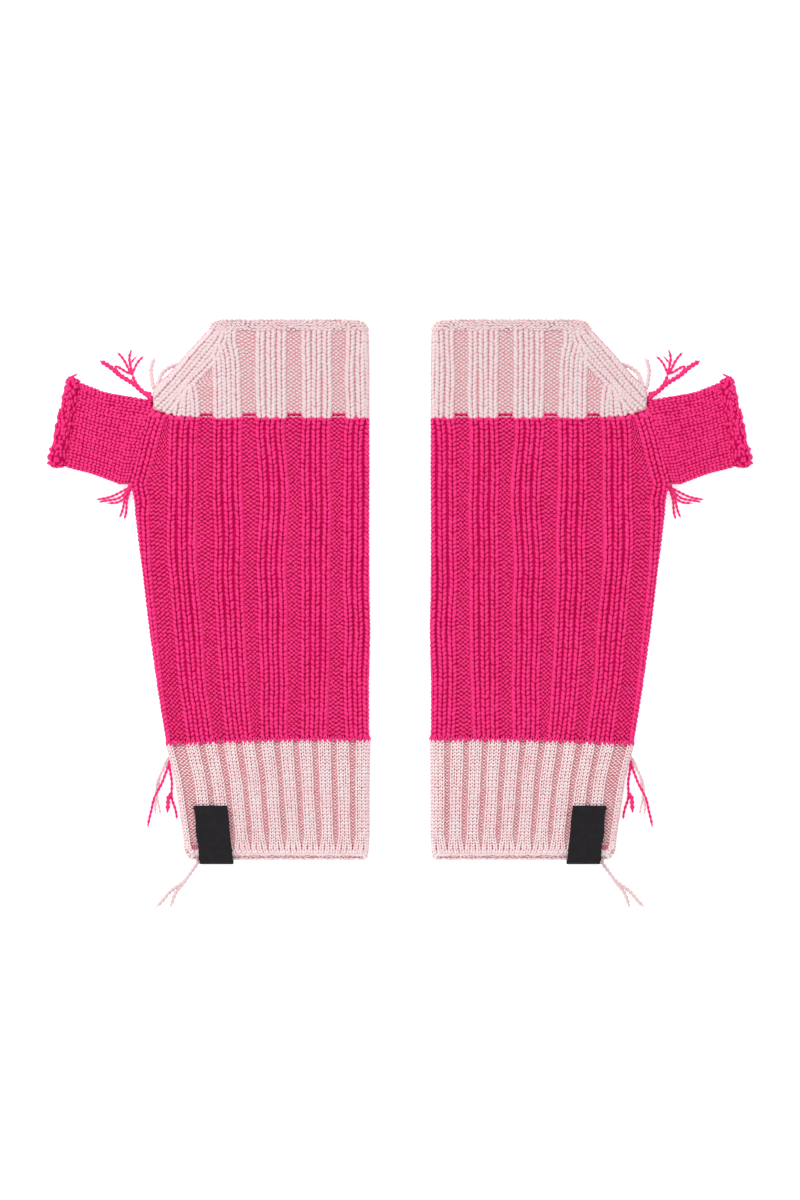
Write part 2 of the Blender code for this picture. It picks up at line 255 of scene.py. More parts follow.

# %% [markdown]
# ## The cloth behind the stitches
# Between and behind the stitches one sees the same yarn again, darker and deeper in colour, because light
# only gets there after it has bounced off its neighbours. The thin cloth under the stitches has this deeper
# colour painted on as shade, and a fine relief of purl bumps with painted shade in their hollows, which
# also shows inside the open ends.


# %% Ground cloth materials
def ground_material(name, light, shaded):
    material, tree, shader = new_material(name, 0.9)
    place = add_node(tree, "ShaderNodeTexCoord")
    inputs = {"Vector": place.outputs["UV"], "Scale": 1.6, "Randomness": 0.35}
    purl = add_node(tree, "ShaderNodeTexVoronoi", inputs)
    # painted shade: the purl bumps' middles stay light and their hollows towards the cell edges get the
    # shaded colour
    amount = calculate(tree, "ADD", purl.outputs["Distance"], noise(tree, place, 1500.0))
    shade = stretched(tree, amount, 0.4, 1.3)
    paint(tree, shader, shade, light, shaded)
    relief = bumps_from(tree, shade, 0.0004, 0.8, invert=True)
    tree.links.new(relief.outputs["Normal"], shader.inputs["Normal"])
    return material


# each ground is its yarn's colour darkened as painted shade; the cuff's, under its narrow channels, is darker
# still
HOT_GROUND = ground_material("hot_pink_ground", srgb(218, 2, 96), srgb(176, 0, 68))
PALE_GROUND = ground_material("pale_pink_ground", srgb(250, 190, 196), srgb(236, 160, 169))
CUFF_GROUND = ground_material("pale_cuff_ground", srgb(230, 146, 156), srgb(206, 114, 127))
print("ground cloths:", HOT_GROUND.name, PALE_GROUND.name, CUFF_GROUND.name)

# %% [markdown]
# ## The flattened tube
# A mitten that lies flat is a tube pressed together: two layers, folded at both edges. We find our way
# round it with one number, t: the millimetres from the middle of the folded edge, upwards over the front.
# Below zero, t runs under the back. Every stitch, lip and seam is then placed by t, by its height v, and by
# its lift above or below the CAD wall's outer face.

# %% Sizes of one mitten, in millimetres
PAIR_GAP = 25.2  # between the two folded edges
FINGER_EDGE_V = 227.0
HAND_HEIGHT, HAND_WALL = 5.6, 2.4  # palm and hand band
CUFF_HEIGHT, CUFF_WALL = 5.4, 1.9
THUMB_WALL = 1.8
CROWN = 0.4  # the front layer's rise in the middle
MIDDLE_V = FINGER_EDGE_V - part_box("left_hand_band")[1].y / MM

Outline = namedtuple("Outline", "v fold side")
OUTLINE = (
    Outline(0.2, 1.2, 75.8),
    Outline(1.5, 0.8, 77.2),
    Outline(3.5, 0.4, 78.1),
    Outline(11.0, 0.0, 78.9),
    Outline(33.5, 0.0, 82.2),
    Outline(48.0, -0.3, 85.9),
    Outline(71.0, -0.6, 89.6),
    Outline(97.0, -0.6, 93.1),
    Outline(122.0, -0.3, 96.1),
    Outline(145.0, 0.0, 99.1),
    Outline(152.0, 0.0, 100.1),
    Outline(157.9, 0.0, 101.8),  # foot of the thumb
    Outline(166.3, 0.0, 99.6),
    Outline(177.7, 0.0, 96.8),
    Outline(186.6, 0.0, 94.0),
    Outline(192.0, 0.0, 91.4),  # top of the thumb
    Outline(197.4, 0.0, 91.6),  # foot of the slanting edge
    Outline(199.8, 0.0, 89.4),
    Outline(203.0, 0.0, 85.6),
    Outline(206.5, 0.0, 82.6),
    Outline(208.6, 0.0, 80.8),
    Outline(212.5, 0.0, 77.6),
    Outline(219.5, 0.1, 70.9),
    Outline(222.6, 0.5, 68.2),
    Outline(225.0, 1.5, 66.8),
    Outline(226.3, 2.7, 65.9),
    Outline(FINGER_EDGE_V, 4.0, 65.0),
)
OUTLINE_V, FOLD_U, SIDE_U = np.array(OUTLINE).T
SEWN_V = (152.0, 157.9, 194.0, 197.4)  # where the thumb is sewn on, the side is less round
SEWN_ROUND = (2.8, 0.8, 0.8, 2.8)
print("middle of the pair at v =", round(MIDDLE_V, 2))


# %% Round a flattened tube
def quarter(near, half):
    """About how long a quarter of an ellipse is."""
    return math.pi / 2 * np.sqrt((near**2 + half**2) / 2)


def half_girth(width, height, near, far):
    return quarter(near, height / 2) + (width - near - far) + quarter(far, height / 2)


def around(width, height, near, far, t, lift):
    """Where t lies on a flattened tube: the distance across and the height, then the outward direction."""
    half = height / 2
    near_arc, far_arc = quarter(near, half), quarter(far, half)
    flat = width - near - far
    girth = near_arc + flat + far_arc
    wrapped = (t + girth) % (2 * girth) - girth
    face = np.where(wrapped < 0, -1.0, 1.0)
    s = np.abs(wrapped)
    near_turn = np.clip(s / near_arc, 0, 1) * math.pi / 2
    far_turn = np.clip((girth - s) / far_arc, 0, 1) * math.pi / 2
    on_flat = np.clip(s - near_arc, 0, flat)
    across = near * (1 - np.cos(near_turn)) + on_flat + far * np.cos(far_turn)
    up = half * np.sin(near_turn) * np.sin(far_turn)
    out_across = half * (np.cos(far_turn) - np.cos(near_turn))
    out_up = np.where(s < near_arc, near * np.sin(near_turn), 1.0)
    out_up = np.where(s > girth - far_arc, far * np.sin(far_turn), out_up)
    length = np.hypot(out_across, out_up)
    out_across, out_z = out_across / length, face * out_up / length
    share = on_flat / flat
    crown = CROWN * 4 * share * (1 - share) * (face > 0) * up / half
    return across + lift * out_across, half + face * up + crown + lift * out_z, out_across, out_z


def hand_section(v, height):
    """The folded edge, the width and the two roundings at height v."""
    fold = np.interp(v, OUTLINE_V, FOLD_U)
    side = np.interp(v, OUTLINE_V, SIDE_U)
    far = np.minimum(np.interp(v, SEWN_V, SEWN_ROUND), height / 2)
    return fold, side - fold, height / 2, far


def on_hand(t, v, lift, height=HAND_HEIGHT):
    """Points (u, v, z) on the palm or the band, and the directions that point out of the cloth."""
    fold, width, near, far = hand_section(v, height)
    across, z, out_across, out_z = around(width, height, near, far, t, lift)
    points = np.stack([fold + across, v + 0 * z, z], axis=-1)
    outward = np.stack([out_across, 0 * z, out_z], axis=-1)
    return points, outward


HEM_LIFT_V, HEM_LIFT = (1.8, 4.0, 11.0), (2.4, 1.0, 0.0)  # the front layer's hem lies a little higher


def on_cuff(t, v, lift):
    points, outward = on_hand(t, v, lift, CUFF_HEIGHT)
    points[..., 1] += np.interp(v, HEM_LIFT_V, HEM_LIFT) * np.clip((points[..., 2] - 2.2) / 2.8, 0, 1)
    return points, outward


def hand_girth(v, height=HAND_HEIGHT):
    fold, width, near, far = hand_section(v, height)
    return half_girth(width, height, near, far)


def t_at(u, v, height=HAND_HEIGHT):
    """How far round the front one finds the place that lies u from the folded edge, seen from above."""
    fold, width, near, far = hand_section(v, height)
    a = u - fold
    near_turn = np.arccos(np.clip(1 - a / near, 0, 1))
    far_turn = np.arccos(np.clip(1 - (width - a) / far, 0, 1))
    near_arc, far_arc = quarter(near, height / 2), quarter(far, height / 2)
    girth = half_girth(width, height, near, far)
    t = near_arc + (a - near)
    t = np.where(a < near, near_turn / (math.pi / 2) * near_arc, t)
    return np.where(width - a < far, girth - far_turn / (math.pi / 2) * far_arc, t)


print("once round the palm in mm:", round(2 * float(hand_girth(120.0)), 1))

# %% [markdown]
# ## The thumb's tube
# The thumb is a tube of its own that points away from the palm. Here v is replaced by s, the distance from
# its sewn root, and each row of the table below gives its lower edge, its upper edge and its height at that
# place.

# %% Round the thumb
ThumbRing = namedtuple("ThumbRing", "low_u low_v high_u high_v height")
THUMB_RINGS = (
    ThumbRing(101.3, 157.7, 90.85, 193.1, 5.4),  # sewn to the palm
    ThumbRing(105.2, 157.6, 97.4, 194.4, 5.6),
    ThumbRing(111.0, 159.8, 104.5, 195.6, 4.4),
    ThumbRing(117.0, 162.0, 111.5, 196.9, 4.4),
    ThumbRing(127.8, 164.8, 121.5, 200.9, 4.4),
    ThumbRing(131.2, 164.7, 123.4, 202.3, 6.2),  # the rolled edge
    ThumbRing(135.0, 165.2, 126.2, 203.4, 6.2),
    ThumbRing(136.3, 165.8, 127.2, 203.4, 6.2),
)
THUMB = np.array(THUMB_RINGS)
THUMB_MIDDLE = (THUMB[:, 0:2] + THUMB[:, 2:4]) / 2
THUMB_STEPS = np.hypot(*np.diff(THUMB_MIDDLE, axis=0).T)
THUMB_S = np.concatenate([[0.0], np.cumsum(THUMB_STEPS)])


def thumb_section(s):
    low_u, low_v, high_u, high_v, height = (np.interp(s, THUMB_S, column) for column in THUMB.T)
    return low_u, low_v, high_u - low_u, high_v - low_v, height


def thumb_girth(s):
    low_u, low_v, du, dv, height = thumb_section(s)
    return half_girth(np.hypot(du, dv), height, height / 2, height / 2)


def on_thumb(t, s, lift):
    low_u, low_v, du, dv, height = thumb_section(s)
    width = np.hypot(du, dv)
    across, z, out_across, out_z = around(width, height, height / 2, height / 2, t, lift)
    points = np.stack([low_u + du * across / width, low_v + dv * across / width, z], axis=-1)
    outward = np.stack([out_across * du / width, out_across * dv / width, out_z], axis=-1)
    return points, outward


print("thumb length and girth in mm:", round(THUMB_S[-1], 1), round(2 * float(thumb_girth(20.0)), 1))


# %% [markdown]
# ## From one mitten to a pair
# The right mitten is the mirror image of the left one. All points are turned into metres on the table here,
# with side -1 for the left mitten and +1 for the right one.

# %% Onto the table
SIDES = {"left": -1.0, "right": 1.0}


def to_table(points, side):
    u, v, z = points[..., 0], points[..., 1], points[..., 2]
    return np.stack([side * (PAIR_GAP / 2 + u), v - MIDDLE_V, z], axis=-1) * MM


def way_to_table(ways, side):
    return ways * np.array([side, 1.0, 1.0])


def new_piece(name, mesh, material):
    piece = bpy.data.objects.new(name, mesh)
    bpy.context.scene.collection.objects.link(piece)
    mesh.materials.append(material)
    return piece


def solid_mesh(name, points, faces, uv, height=0.45):
    """A closed, smooth mesh whose faces point outwards, with a UV map and the height that sets the yarn's
    painted shade.
    """
    mesh = bpy.data.meshes.new(name)
    mesh.from_pydata([tuple(p) for p in points], [], [tuple(f) for f in faces])
    layer = mesh.uv_layers.new(name="UVMap")
    corners = np.zeros(len(mesh.loops), np.int32)
    mesh.loops.foreach_get("vertex_index", corners)
    layer.data.foreach_set("uv", np.asarray(uv, np.float32)[corners].ravel())
    heights = np.broadcast_to(np.asarray(height, np.float32), len(points))
    mesh.attributes.new("height", "FLOAT", "POINT").data.foreach_set("value", np.ascontiguousarray(heights))
    if inside_out(mesh):
        mesh.flip_normals()
    mesh.shade_smooth()
    return mesh


def inside_out(mesh):
    """Whether the volume that the faces wrap comes out below zero."""
    mesh.calc_loop_triangles()
    points = np.zeros(len(mesh.vertices) * 3, np.float64)
    mesh.vertices.foreach_get("co", points)
    corners = np.zeros(len(mesh.loop_triangles) * 3, np.int32)
    mesh.loop_triangles.foreach_get("vertices", corners)
    a, b, c = points.reshape(-1, 3)[corners].reshape(-1, 3, 3).transpose(1, 0, 2)
    return float(np.einsum("ij,ij->i", a, np.cross(b, c)).sum()) < 0


TRIANGLES = {}


def note_triangles(piece):
    piece.data.calc_loop_triangles()
    TRIANGLES[piece.name] = len(piece.data.loop_triangles)


def make_pair(name, slot, material, make_mesh, *facts):
    """One piece for each mitten, from a function that makes its mesh and takes the mitten's side last."""
    made = {}
    for hand, side in SIDES.items():
        full_name = hand + "_" + name
        made[hand] = new_piece(full_name, make_mesh(full_name, *facts, side), material)
        note_triangles(made[hand])
    print(name, "has", TRIANGLES["left_" + name], "triangles a mitten")
    return made


# %% [markdown]
# ## The shape of one stitch
# Seen closely, the front of a knit stitch is two grains of yarn that form a V, and a purl stitch is two
# arched grains side by side, a bump and a dip. So the shape that gets repeated is one grain: a short
# spindle, bent a little so that both ends dive into the cloth, and for purl arched to one side as well. It
# has only a few dozen faces, because there will be thousands of it, and the grains of the hidden back
# layers have the fewest.


# %% One grain of yarn
def make_grain(name, sides, profile, bend, bow=0.0):
    """A grain one unit long, wide and deep, along X, with Z out of the cloth. bow arches it towards Y."""
    rings = len(profile)
    points, uv = [(-0.5, 0.0, -bend)], [(0.0, 0.5)]
    for x, radius in profile:
        for j in range(sides):
            turn = math.pi / 2 + 2 * math.pi * j / sides
            y = radius * math.cos(turn) + bow * (1 - (2 * x) ** 2)
            points.append((x, y, radius * math.sin(turn) - bend * (2 * x) ** 2))
            uv.append((x + 0.5, j / sides))
    points.append((0.5, 0.0, -bend))
    uv.append((1.0, 0.5))
    last = len(points) - 1
    faces = [(0, 1 + (j + 1) % sides, 1 + j) for j in range(sides)]
    for i in range(rings - 1):
        low, high = 1 + i * sides, 1 + (i + 1) * sides
        faces += [(low + j, low + (j + 1) % sides, high + (j + 1) % sides, high + j) for j in range(sides)]
    top = 1 + (rings - 1) * sides
    faces += [(last, top + j, top + (j + 1) % sides) for j in range(sides)]
    # the height that sets the painted shade: low on the flanks and at the dipping ends
    heights = [2 * z for x, y, z in points]
    grain = bpy.data.objects.new(name, solid_mesh(name, points, faces, uv, heights))
    bpy.context.scene.collection.objects.link(grain)
    return grain


# each profile lists a few places along the grain with its radius there
TIPPED = ((-0.31, 0.36), (0.0, 0.5), (0.31, 0.36))
BLUNT = ((-0.36, 0.4), (0.0, 0.5), (0.36, 0.4))
SHORT = ((-0.3, 0.46), (0.3, 0.46))
FULL_GRAIN = make_grain("full_grain", 5, TIPPED, 0.42)
BLUNT_GRAIN = make_grain("blunt_grain", 5, BLUNT, 0.34)
SMALL_GRAIN = make_grain("small_grain", 4, SHORT, 0.2)
PURL_GRAIN = make_grain("purl_grain", 4, BLUNT, 0.2, 0.3)
SMALL_PURL_GRAIN = make_grain("small_purl_grain", 4, SHORT, 0.15, 0.25)
BACK_GRAIN = make_grain("back_grain", 3, SHORT, 0.3)
BACK_PURL_GRAIN = make_grain("back_purl_grain", 3, SHORT, 0.15, 0.3)
GRAINS = (FULL_GRAIN, BLUNT_GRAIN, SMALL_GRAIN, PURL_GRAIN, SMALL_PURL_GRAIN, BACK_GRAIN, BACK_PURL_GRAIN)
print("faces of each grain:", [len(grain.data.polygons) for grain in GRAINS])

# %% [markdown]
# ## One tree that lays all the stitches
# Python works out where each grain starts and ends. The tree does the rest: it turns the grain along the
# yarn and out of the cloth, stretches it from end to end, makes every one a little different with a fixed
# seed, and realizes the copies with their material, because the export drops instances.


# %% The tree's sockets
def add_sockets(tree):
    tree.interface.new_socket("Geometry", in_out="OUTPUT", socket_type="NodeSocketGeometry")
    for name, kind in (
        ("Geometry", "NodeSocketGeometry"),
        ("Grain", "NodeSocketObject"),
        ("Yarn", "NodeSocketMaterial"),
        ("Overlap", "NodeSocketFloat"),
        ("Width", "NodeSocketFloat"),
        ("Depth", "NodeSocketFloat"),
        ("Unevenness", "NodeSocketFloat"),
        ("Seed", "NodeSocketInt"),
    ):
        tree.interface.new_socket(name, in_out="INPUT", socket_type=kind)


def uneven(tree, group, seed_shift, value):
    """A value made a little larger or smaller at each point."""
    chance = add_node(tree, "FunctionNodeRandomValue", data_type="FLOAT")
    least = calculate(tree, "SUBTRACT", 1.0, group.outputs["Unevenness"])
    most = calculate(tree, "ADD", 1.0, group.outputs["Unevenness"])
    seed = calculate(tree, "ADD", group.outputs["Seed"], seed_shift)
    for value_now, socket in ((least, 2), (most, 3), (seed, "Seed")):
        tree.links.new(value_now, chance.inputs[socket])
    return calculate(tree, "MULTIPLY", chance.outputs[1], value)


def attribute(tree, name, kind):
    """What the point cloud stored under a name."""
    node = add_node(tree, "GeometryNodeInputNamedAttribute", {"Name": name}, data_type=kind)
    return node.outputs["Attribute"]


# %% The tree itself
def make_stitch_tree():
    tree = bpy.data.node_groups.new("lay_stitches", "GeometryNodeTree")
    add_sockets(tree)
    group = add_node(tree, "NodeGroupInput")
    turn = add_node(tree, "FunctionNodeAxesToRotation", primary_axis="X", secondary_axis="Z")
    tree.links.new(attribute(tree, "along", "FLOAT_VECTOR"), turn.inputs[0])
    tree.links.new(attribute(tree, "outward", "FLOAT_VECTOR"), turn.inputs[1])
    length = calculate(tree, "MULTIPLY", attribute(tree, "reach", "FLOAT"), group.outputs["Overlap"])
    size = add_node(tree, "ShaderNodeCombineXYZ", {"X": length})
    weight = attribute(tree, "weight", "FLOAT")
    for name, axis, shift in (("Width", "Y", 11), ("Depth", "Z", 23)):
        own = calculate(tree, "MULTIPLY", weight, group.outputs[name])
        tree.links.new(uneven(tree, group, shift, own), size.inputs[axis])
    grain = add_node(tree, "GeometryNodeObjectInfo", {"Object": group.outputs["Grain"], "As Instance": True})
    copies = add_node(
        tree,
        "GeometryNodeInstanceOnPoints",
        {
            "Points": group.outputs["Geometry"],
            "Instance": grain.outputs["Geometry"],
            "Rotation": turn.outputs[0],
            "Scale": size.outputs["Vector"],
        },
    )
    tone = add_node(tree, "FunctionNodeRandomValue", {"Seed": group.outputs["Seed"]}, data_type="FLOAT")
    named = add_node(
        tree,
        "GeometryNodeStoreNamedAttribute",
        {"Geometry": copies.outputs["Instances"], "Name": "tone", "Value": tone.outputs[1]},
        data_type="FLOAT",
        domain="INSTANCE",
    )
    real = add_node(tree, "GeometryNodeRealizeInstances", {"Geometry": named.outputs["Geometry"]})
    dyed = add_node(
        tree,
        "GeometryNodeSetMaterial",
        {"Geometry": real.outputs["Geometry"], "Material": group.outputs["Yarn"]},
    )
    add_node(tree, "NodeGroupOutput", {"Geometry": dyed.outputs["Geometry"]})
    return tree


STITCH_TREE = make_stitch_tree()
SOCKETS = {s.name: s.identifier for s in STITCH_TREE.interface.items_tree if s.in_out == "INPUT"}
print("tree inputs:", sorted(SOCKETS))


# %% [markdown]
# ## Laying a batch of stitches
# A batch is a set of grains with their two ends in millimetres, and the direction out of the cloth. It
# becomes a cloud of points with attributes, the tree runs on it once for each mitten, and the result is
# kept as a plain mesh.

# %% Batches
Batch = namedtuple("Batch", "start end outward weight")


def join_batches(batches):
    return Batch(*[np.concatenate(part) for part in zip(*batches)])


def cloud_of(batch, side, name):
    """Points in the middle of each grain, with the attributes that the tree reads."""
    start, end = to_table(batch.start, side), to_table(batch.end, side)
    # a mirrored grain runs the other way, so that its arch still points the right way
    way = (end - start) * side
    reach = np.linalg.norm(way, axis=1)
    mesh = bpy.data.meshes.new(name)
    mesh.vertices.add(len(start))
    mesh.vertices.foreach_set("co", ((start + end) / 2).astype(np.float32).ravel())
    vectors = {"along": way / reach[:, None], "outward": way_to_table(batch.outward, side)}
    for key, values in vectors.items():
        stored = mesh.attributes.new(key, "FLOAT_VECTOR", "POINT")
        stored.data.foreach_set("vector", values.astype(np.float32).ravel())
    for key, values in {"reach": reach, "weight": batch.weight}.items():
        stored = mesh.attributes.new(key, "FLOAT", "POINT")
        stored.data.foreach_set("value", values.astype(np.float32))
    return mesh


Yarn = namedtuple("Yarn", "grain material overlap width depth unevenness")


def run_tree(batch, side, yarn, seed):
    """The plain mesh that the tree makes of a batch."""
    cloud = bpy.data.objects.new("cloud", cloud_of(batch, side, "cloud"))
    bpy.context.scene.collection.objects.link(cloud)
    layer = cloud.modifiers.new("stitches", "NODES")
    layer.node_group = STITCH_TREE
    values = {
        "Grain": yarn.grain,
        "Yarn": yarn.material,
        "Overlap": yarn.overlap,
        "Width": yarn.width * MM,
        "Depth": yarn.depth * MM,
        "Unevenness": yarn.unevenness,
        "Seed": seed,
    }
    for key, value in values.items():
        layer[SOCKETS[key]] = value
    cloud.update_tag()
    depsgraph = bpy.context.evaluated_depsgraph_get()
    evaluated = cloud.evaluated_get(depsgraph)
    mesh = bpy.data.meshes.new_from_object(evaluated, preserve_all_data_layers=True, depsgraph=depsgraph)
    bpy.data.objects.remove(cloud)
    return mesh


def knit(name, parts, seed):
    """Lays the parts, each a batch and its yarn, for both mittens, and joins each mitten's into one piece."""
    made = {}
    for hand, side in SIDES.items():
        things = []
        for i, (batch, yarn) in enumerate(parts):
            thing = bpy.data.objects.new("part", run_tree(batch, side, yarn, seed + i))
            bpy.context.scene.collection.objects.link(thing)
            things.append(thing)
        if len(things) > 1:
            with bpy.context.temp_override(active_object=things[0], selected_editable_objects=things):
                bpy.ops.object.join()
        piece = things[0]
        piece.name = hand + "_" + name
        piece.data.name = piece.name
        note_triangles(piece)
        made[hand] = piece
    print(name, "has", TRIANGLES["left_" + name], "triangles a mitten")
    return made


# %% [markdown]
# ## Columns of stitches
# A column, which knitters call a wale, is a path through the tube's own coordinates (t, v) with one point a
# row. From each point a V rises: two grains that start close together and end apart, over the start of the
# next V. In a purl column each point has a bump and, half a column aside, a dip. The bumps reach up and the
# dips down, so the rows mesh like bricks.

# %% Knit and purl columns
RANDOM = np.random.default_rng(41)


def path_frame(path):
    """The unit direction along a path at each of its points, and the one square to it."""
    way = np.gradient(path, axis=0)
    way /= np.linalg.norm(way, axis=1)[:, None]
    return way, np.stack([way[:, 1], -way[:, 0]], axis=1)


def rows_along(path, rows):
    """Points of a path at fractional rows; rows past its ends run straight on."""
    steps = np.arange(len(path))
    inside = np.stack([np.interp(rows, steps, path[:, k]) for k in (0, 1)], axis=1)
    over = np.maximum(rows - steps[-1], 0)[:, None] * (path[-1] - path[-2])
    under = np.minimum(rows, 0)[:, None] * (path[1] - path[0])
    return inside + over + under


def lay(place, start, end, start_lift, end_lift, weight=1.0):
    """A batch from start and end points in (t, v)."""
    head, outward = place(start[:, 0], start[:, 1], start_lift)
    tail, also = place(end[:, 0], end[:, 1], end_lift)
    middle = outward + also
    middle /= np.linalg.norm(middle, axis=1)[:, None]
    return Batch(head, tail, middle, np.full(len(head), weight))


LEGS = (-1.0, 1.0)  # the two legs of a V, left and right of its column
Vee = namedtuple("Vee", "foot head rise foot_lift head_lift")  # rise in rows, the rest in millimetres


def knit_column(place, path, vee, jitter=0.09, weight=1.0):
    """Two grains for each row of a column, each as thick as its weight."""
    steps = np.arange(len(path) - 1, dtype=float)
    square = path_frame(path)[1]
    batches = []
    for leg in LEGS:
        shake = RANDOM.normal(0.0, jitter, (4, len(steps)))
        start = rows_along(path, steps + shake[0])
        end = rows_along(path, steps + vee.rise + shake[1])
        start = start + square[:-1] * (leg * vee.foot + shake[2])[:, None]
        end = end + square[:-1] * (leg * vee.head + shake[3])[:, None]
        batches.append(lay(place, start, end, vee.foot_lift, vee.head_lift, weight))
    return join_batches(batches)


Wave = namedtuple("Wave", "swing lift")


def purl_grains(place, path, quarter_width, swing, lift, jitter, keep=slice(None)):
    """Two arched grains for each point of the path: a bump, and a dip beside it."""
    shake = RANDOM.normal(0.0, jitter, (2, len(path), 2))
    bump = (path + swing + shake[0])[keep]
    dip = (path + quarter_width * 2 - swing + shake[1])[keep]
    arm = np.broadcast_to(quarter_width, path.shape)[keep]
    first = lay(place, bump - arm, bump + arm, lift, lift)
    second = lay(place, dip + arm, dip - arm, lift, lift)
    return join_batches([first, second])


def purl_column(place, path, width, wave, jitter=0.08, keep=slice(None)):
    """A purl column as wide as width, whose rows run straight across the tube."""
    swing = path_frame(path)[0] * wave.swing
    quarter_width = np.broadcast_to(width, len(path))[:, None] * np.array([0.25, 0.0])
    return purl_grains(place, path, quarter_width, swing, wave.lift, jitter, keep)


def wander(count, swing):
    """How far a column strays to one side and back, row by row, as soft rib does."""
    rows = np.arange(count)
    turns = RANDOM.uniform(0, 2 * math.pi, 3)
    return swing * sum(
        math.sqrt(1 / (k + 1)) * np.sin(rows / (5.0 - 1.2 * k) + turns[k]) for k in range(3)
    )


# %% [markdown]
# ## Where the palm's ribs run
# The palm is knitted three columns, then a recessed channel of purl, five times over the front. The ribs
# aren't ruled: they lean a little towards the thumb and narrow towards the wrist. The table gives the
# middle column of each rib at a few heights, and how far apart a rib's columns lie.

# %% The palm's ribs
Ribs = namedtuple("Ribs", "v first second third fourth fifth pitch")
PALM_RIBS = (
    Ribs(46.0, 5.0, 23.4, 39.6, 54.0, 70.4, 3.8),
    Ribs(52.0, 5.0, 23.5, 40.3, 55.0, 71.4, 3.9),
    Ribs(71.0, 5.2, 23.3, 40.1, 57.0, 74.0, 4.1),
    Ribs(97.0, 5.0, 22.7, 40.9, 58.4, 76.5, 4.35),
    Ribs(122.0, 5.2, 22.9, 41.3, 59.5, 78.6, 4.45),
    Ribs(150.0, 5.1, 22.5, 40.3, 59.5, 79.2, 4.5),
    Ribs(180.0, 4.9, 22.9, 41.6, 60.2, 78.4, 4.4),
    Ribs(187.0, 4.1, 22.4, 41.4, 60.0, 77.5, 4.25),
)
PALM_RIB_TABLE = np.array(PALM_RIBS)
PALM_RIB_COUNT = 5
EdgeColumn = namedtuple("EdgeColumn", "v inset")
EDGE_COLUMN = np.array(
    (
        EdgeColumn(46.0, 0.8),
        EdgeColumn(67.0, 1.1),
        EdgeColumn(97.0, 1.8),
        EdgeColumn(122.0, 2.5),
        EdgeColumn(145.0, 4.6),
        EdgeColumn(151.0, 6.0),
        EdgeColumn(174.0, 6.3),
        EdgeColumn(192.0, 6.0),
    )
)
EDGE_SPACING = 4.1  # from that column to the outermost one
COLUMNS_IN_RIB = (-1, 0, 1)
BACK_EDGE_INSET = 4.6
PALM_LOW = (50.5, 48.5)  # the cuff's join at the folded edge and at the thumb side
LOW_BOW = 0.8  # it bows up between them
FIRST_ROW = 0.9  # from there to the first row of stitches
PALM_HIGH = (186.1, 194.0)
PALM_HIGH_BEND = 24  # the upper join only climbs close to the thumb
PALM_ROWS = 75


def join_v(share):
    """The height of the cuff's join at a share of the way from the folded edge to the thumb side."""
    return PALM_LOW[0] + (PALM_LOW[1] - PALM_LOW[0]) * share + LOW_BOW * 4 * share * (1 - share)


def palm_v(row, share):
    """The height of a row at a share of that way."""
    low = join_v(share) + FIRST_ROW
    high = PALM_HIGH[0] + (PALM_HIGH[1] - PALM_HIGH[0]) * np.clip(share, 0, 1) ** PALM_HIGH_BEND
    return low + (high - low) * row / PALM_ROWS


def rib_column(rib, place_in_rib):
    """u of one of a rib's three columns at each of the palm's rows, the place being -1, 0 or 1."""
    rows = np.arange(PALM_ROWS + 1)
    rough_v = palm_v(rows, 0.5)
    u = np.interp(rough_v, PALM_RIB_TABLE[:, 0], PALM_RIB_TABLE[:, rib])
    pitch = np.interp(rough_v, PALM_RIB_TABLE[:, 0], PALM_RIB_TABLE[:, 6])
    return u + place_in_rib * pitch


def palm_path(u, stray, face):
    """A path (t, v) from a column's u at each row, moved aside by stray."""
    rows = np.arange(PALM_ROWS + 1)
    fold, width = hand_section(palm_v(rows, 0.5), HAND_HEIGHT)[:2]
    v = palm_v(rows, (u - fold) / width)
    return np.stack([face * (t_at(u, v) + stray), v], axis=1)


def palm_columns(face):
    """All the knit columns of one face, from the folded edge to the thumb side."""
    columns = []
    for rib in range(1, PALM_RIB_COUNT + 1):
        stray = wander(PALM_ROWS + 1, 0.16)
        for place_in_rib in COLUMNS_IN_RIB:
            own = stray + wander(PALM_ROWS + 1, 0.07)
            columns.append(palm_path(rib_column(rib, place_in_rib), own, face))
    rows = np.arange(PALM_ROWS + 1)
    v = palm_v(rows, 0.95)
    side = np.interp(v, OUTLINE_V, SIDE_U)
    inset = np.interp(v, *EDGE_COLUMN.T) if face > 0 else BACK_EDGE_INSET
    columns.append(palm_path(side - inset, wander(PALM_ROWS + 1, 0.05), face))
    outer = columns[-1] + np.array([face * EDGE_SPACING, 0.0])
    if face > 0:
        columns.append(outer)
    return columns


FRONT_COLUMNS = palm_columns(1.0)
BACK_COLUMNS = palm_columns(-1.0)
print("knit columns on the front and the back:", len(FRONT_COLUMNS), len(BACK_COLUMNS))

# %% [markdown]
# ## The palm's purl channels
# Between two ribs the fabric shows its purl side and sinks in. Each channel has three purl columns, and the
# wide one beside the thumb has four. They share the space that the ribs leave.

# %% The palm's channels
RIB_HALF = 1.4  # a channel starts this far beside the middle of a knit column
CHANNEL_LEAST = 6.5  # two knit columns further apart than this have a channel between them


def channel_paths(left, right, count):
    """Purl paths between two columns, and the width of each at every row."""
    gap = right[:, 0] - left[:, 0]
    inner = np.abs(gap) - 2 * RIB_HALF
    paths = []
    for k in range(count):
        shift = np.sign(gap) * (RIB_HALF + inner * (k + 0.5) / count)
        path = left.copy()
        path[:, 0] += shift
        path[:, 1] = left[:, 1] + (right[:, 1] - left[:, 1]) * np.abs(shift / gap)
        paths.append(path)
    return paths, inner / count


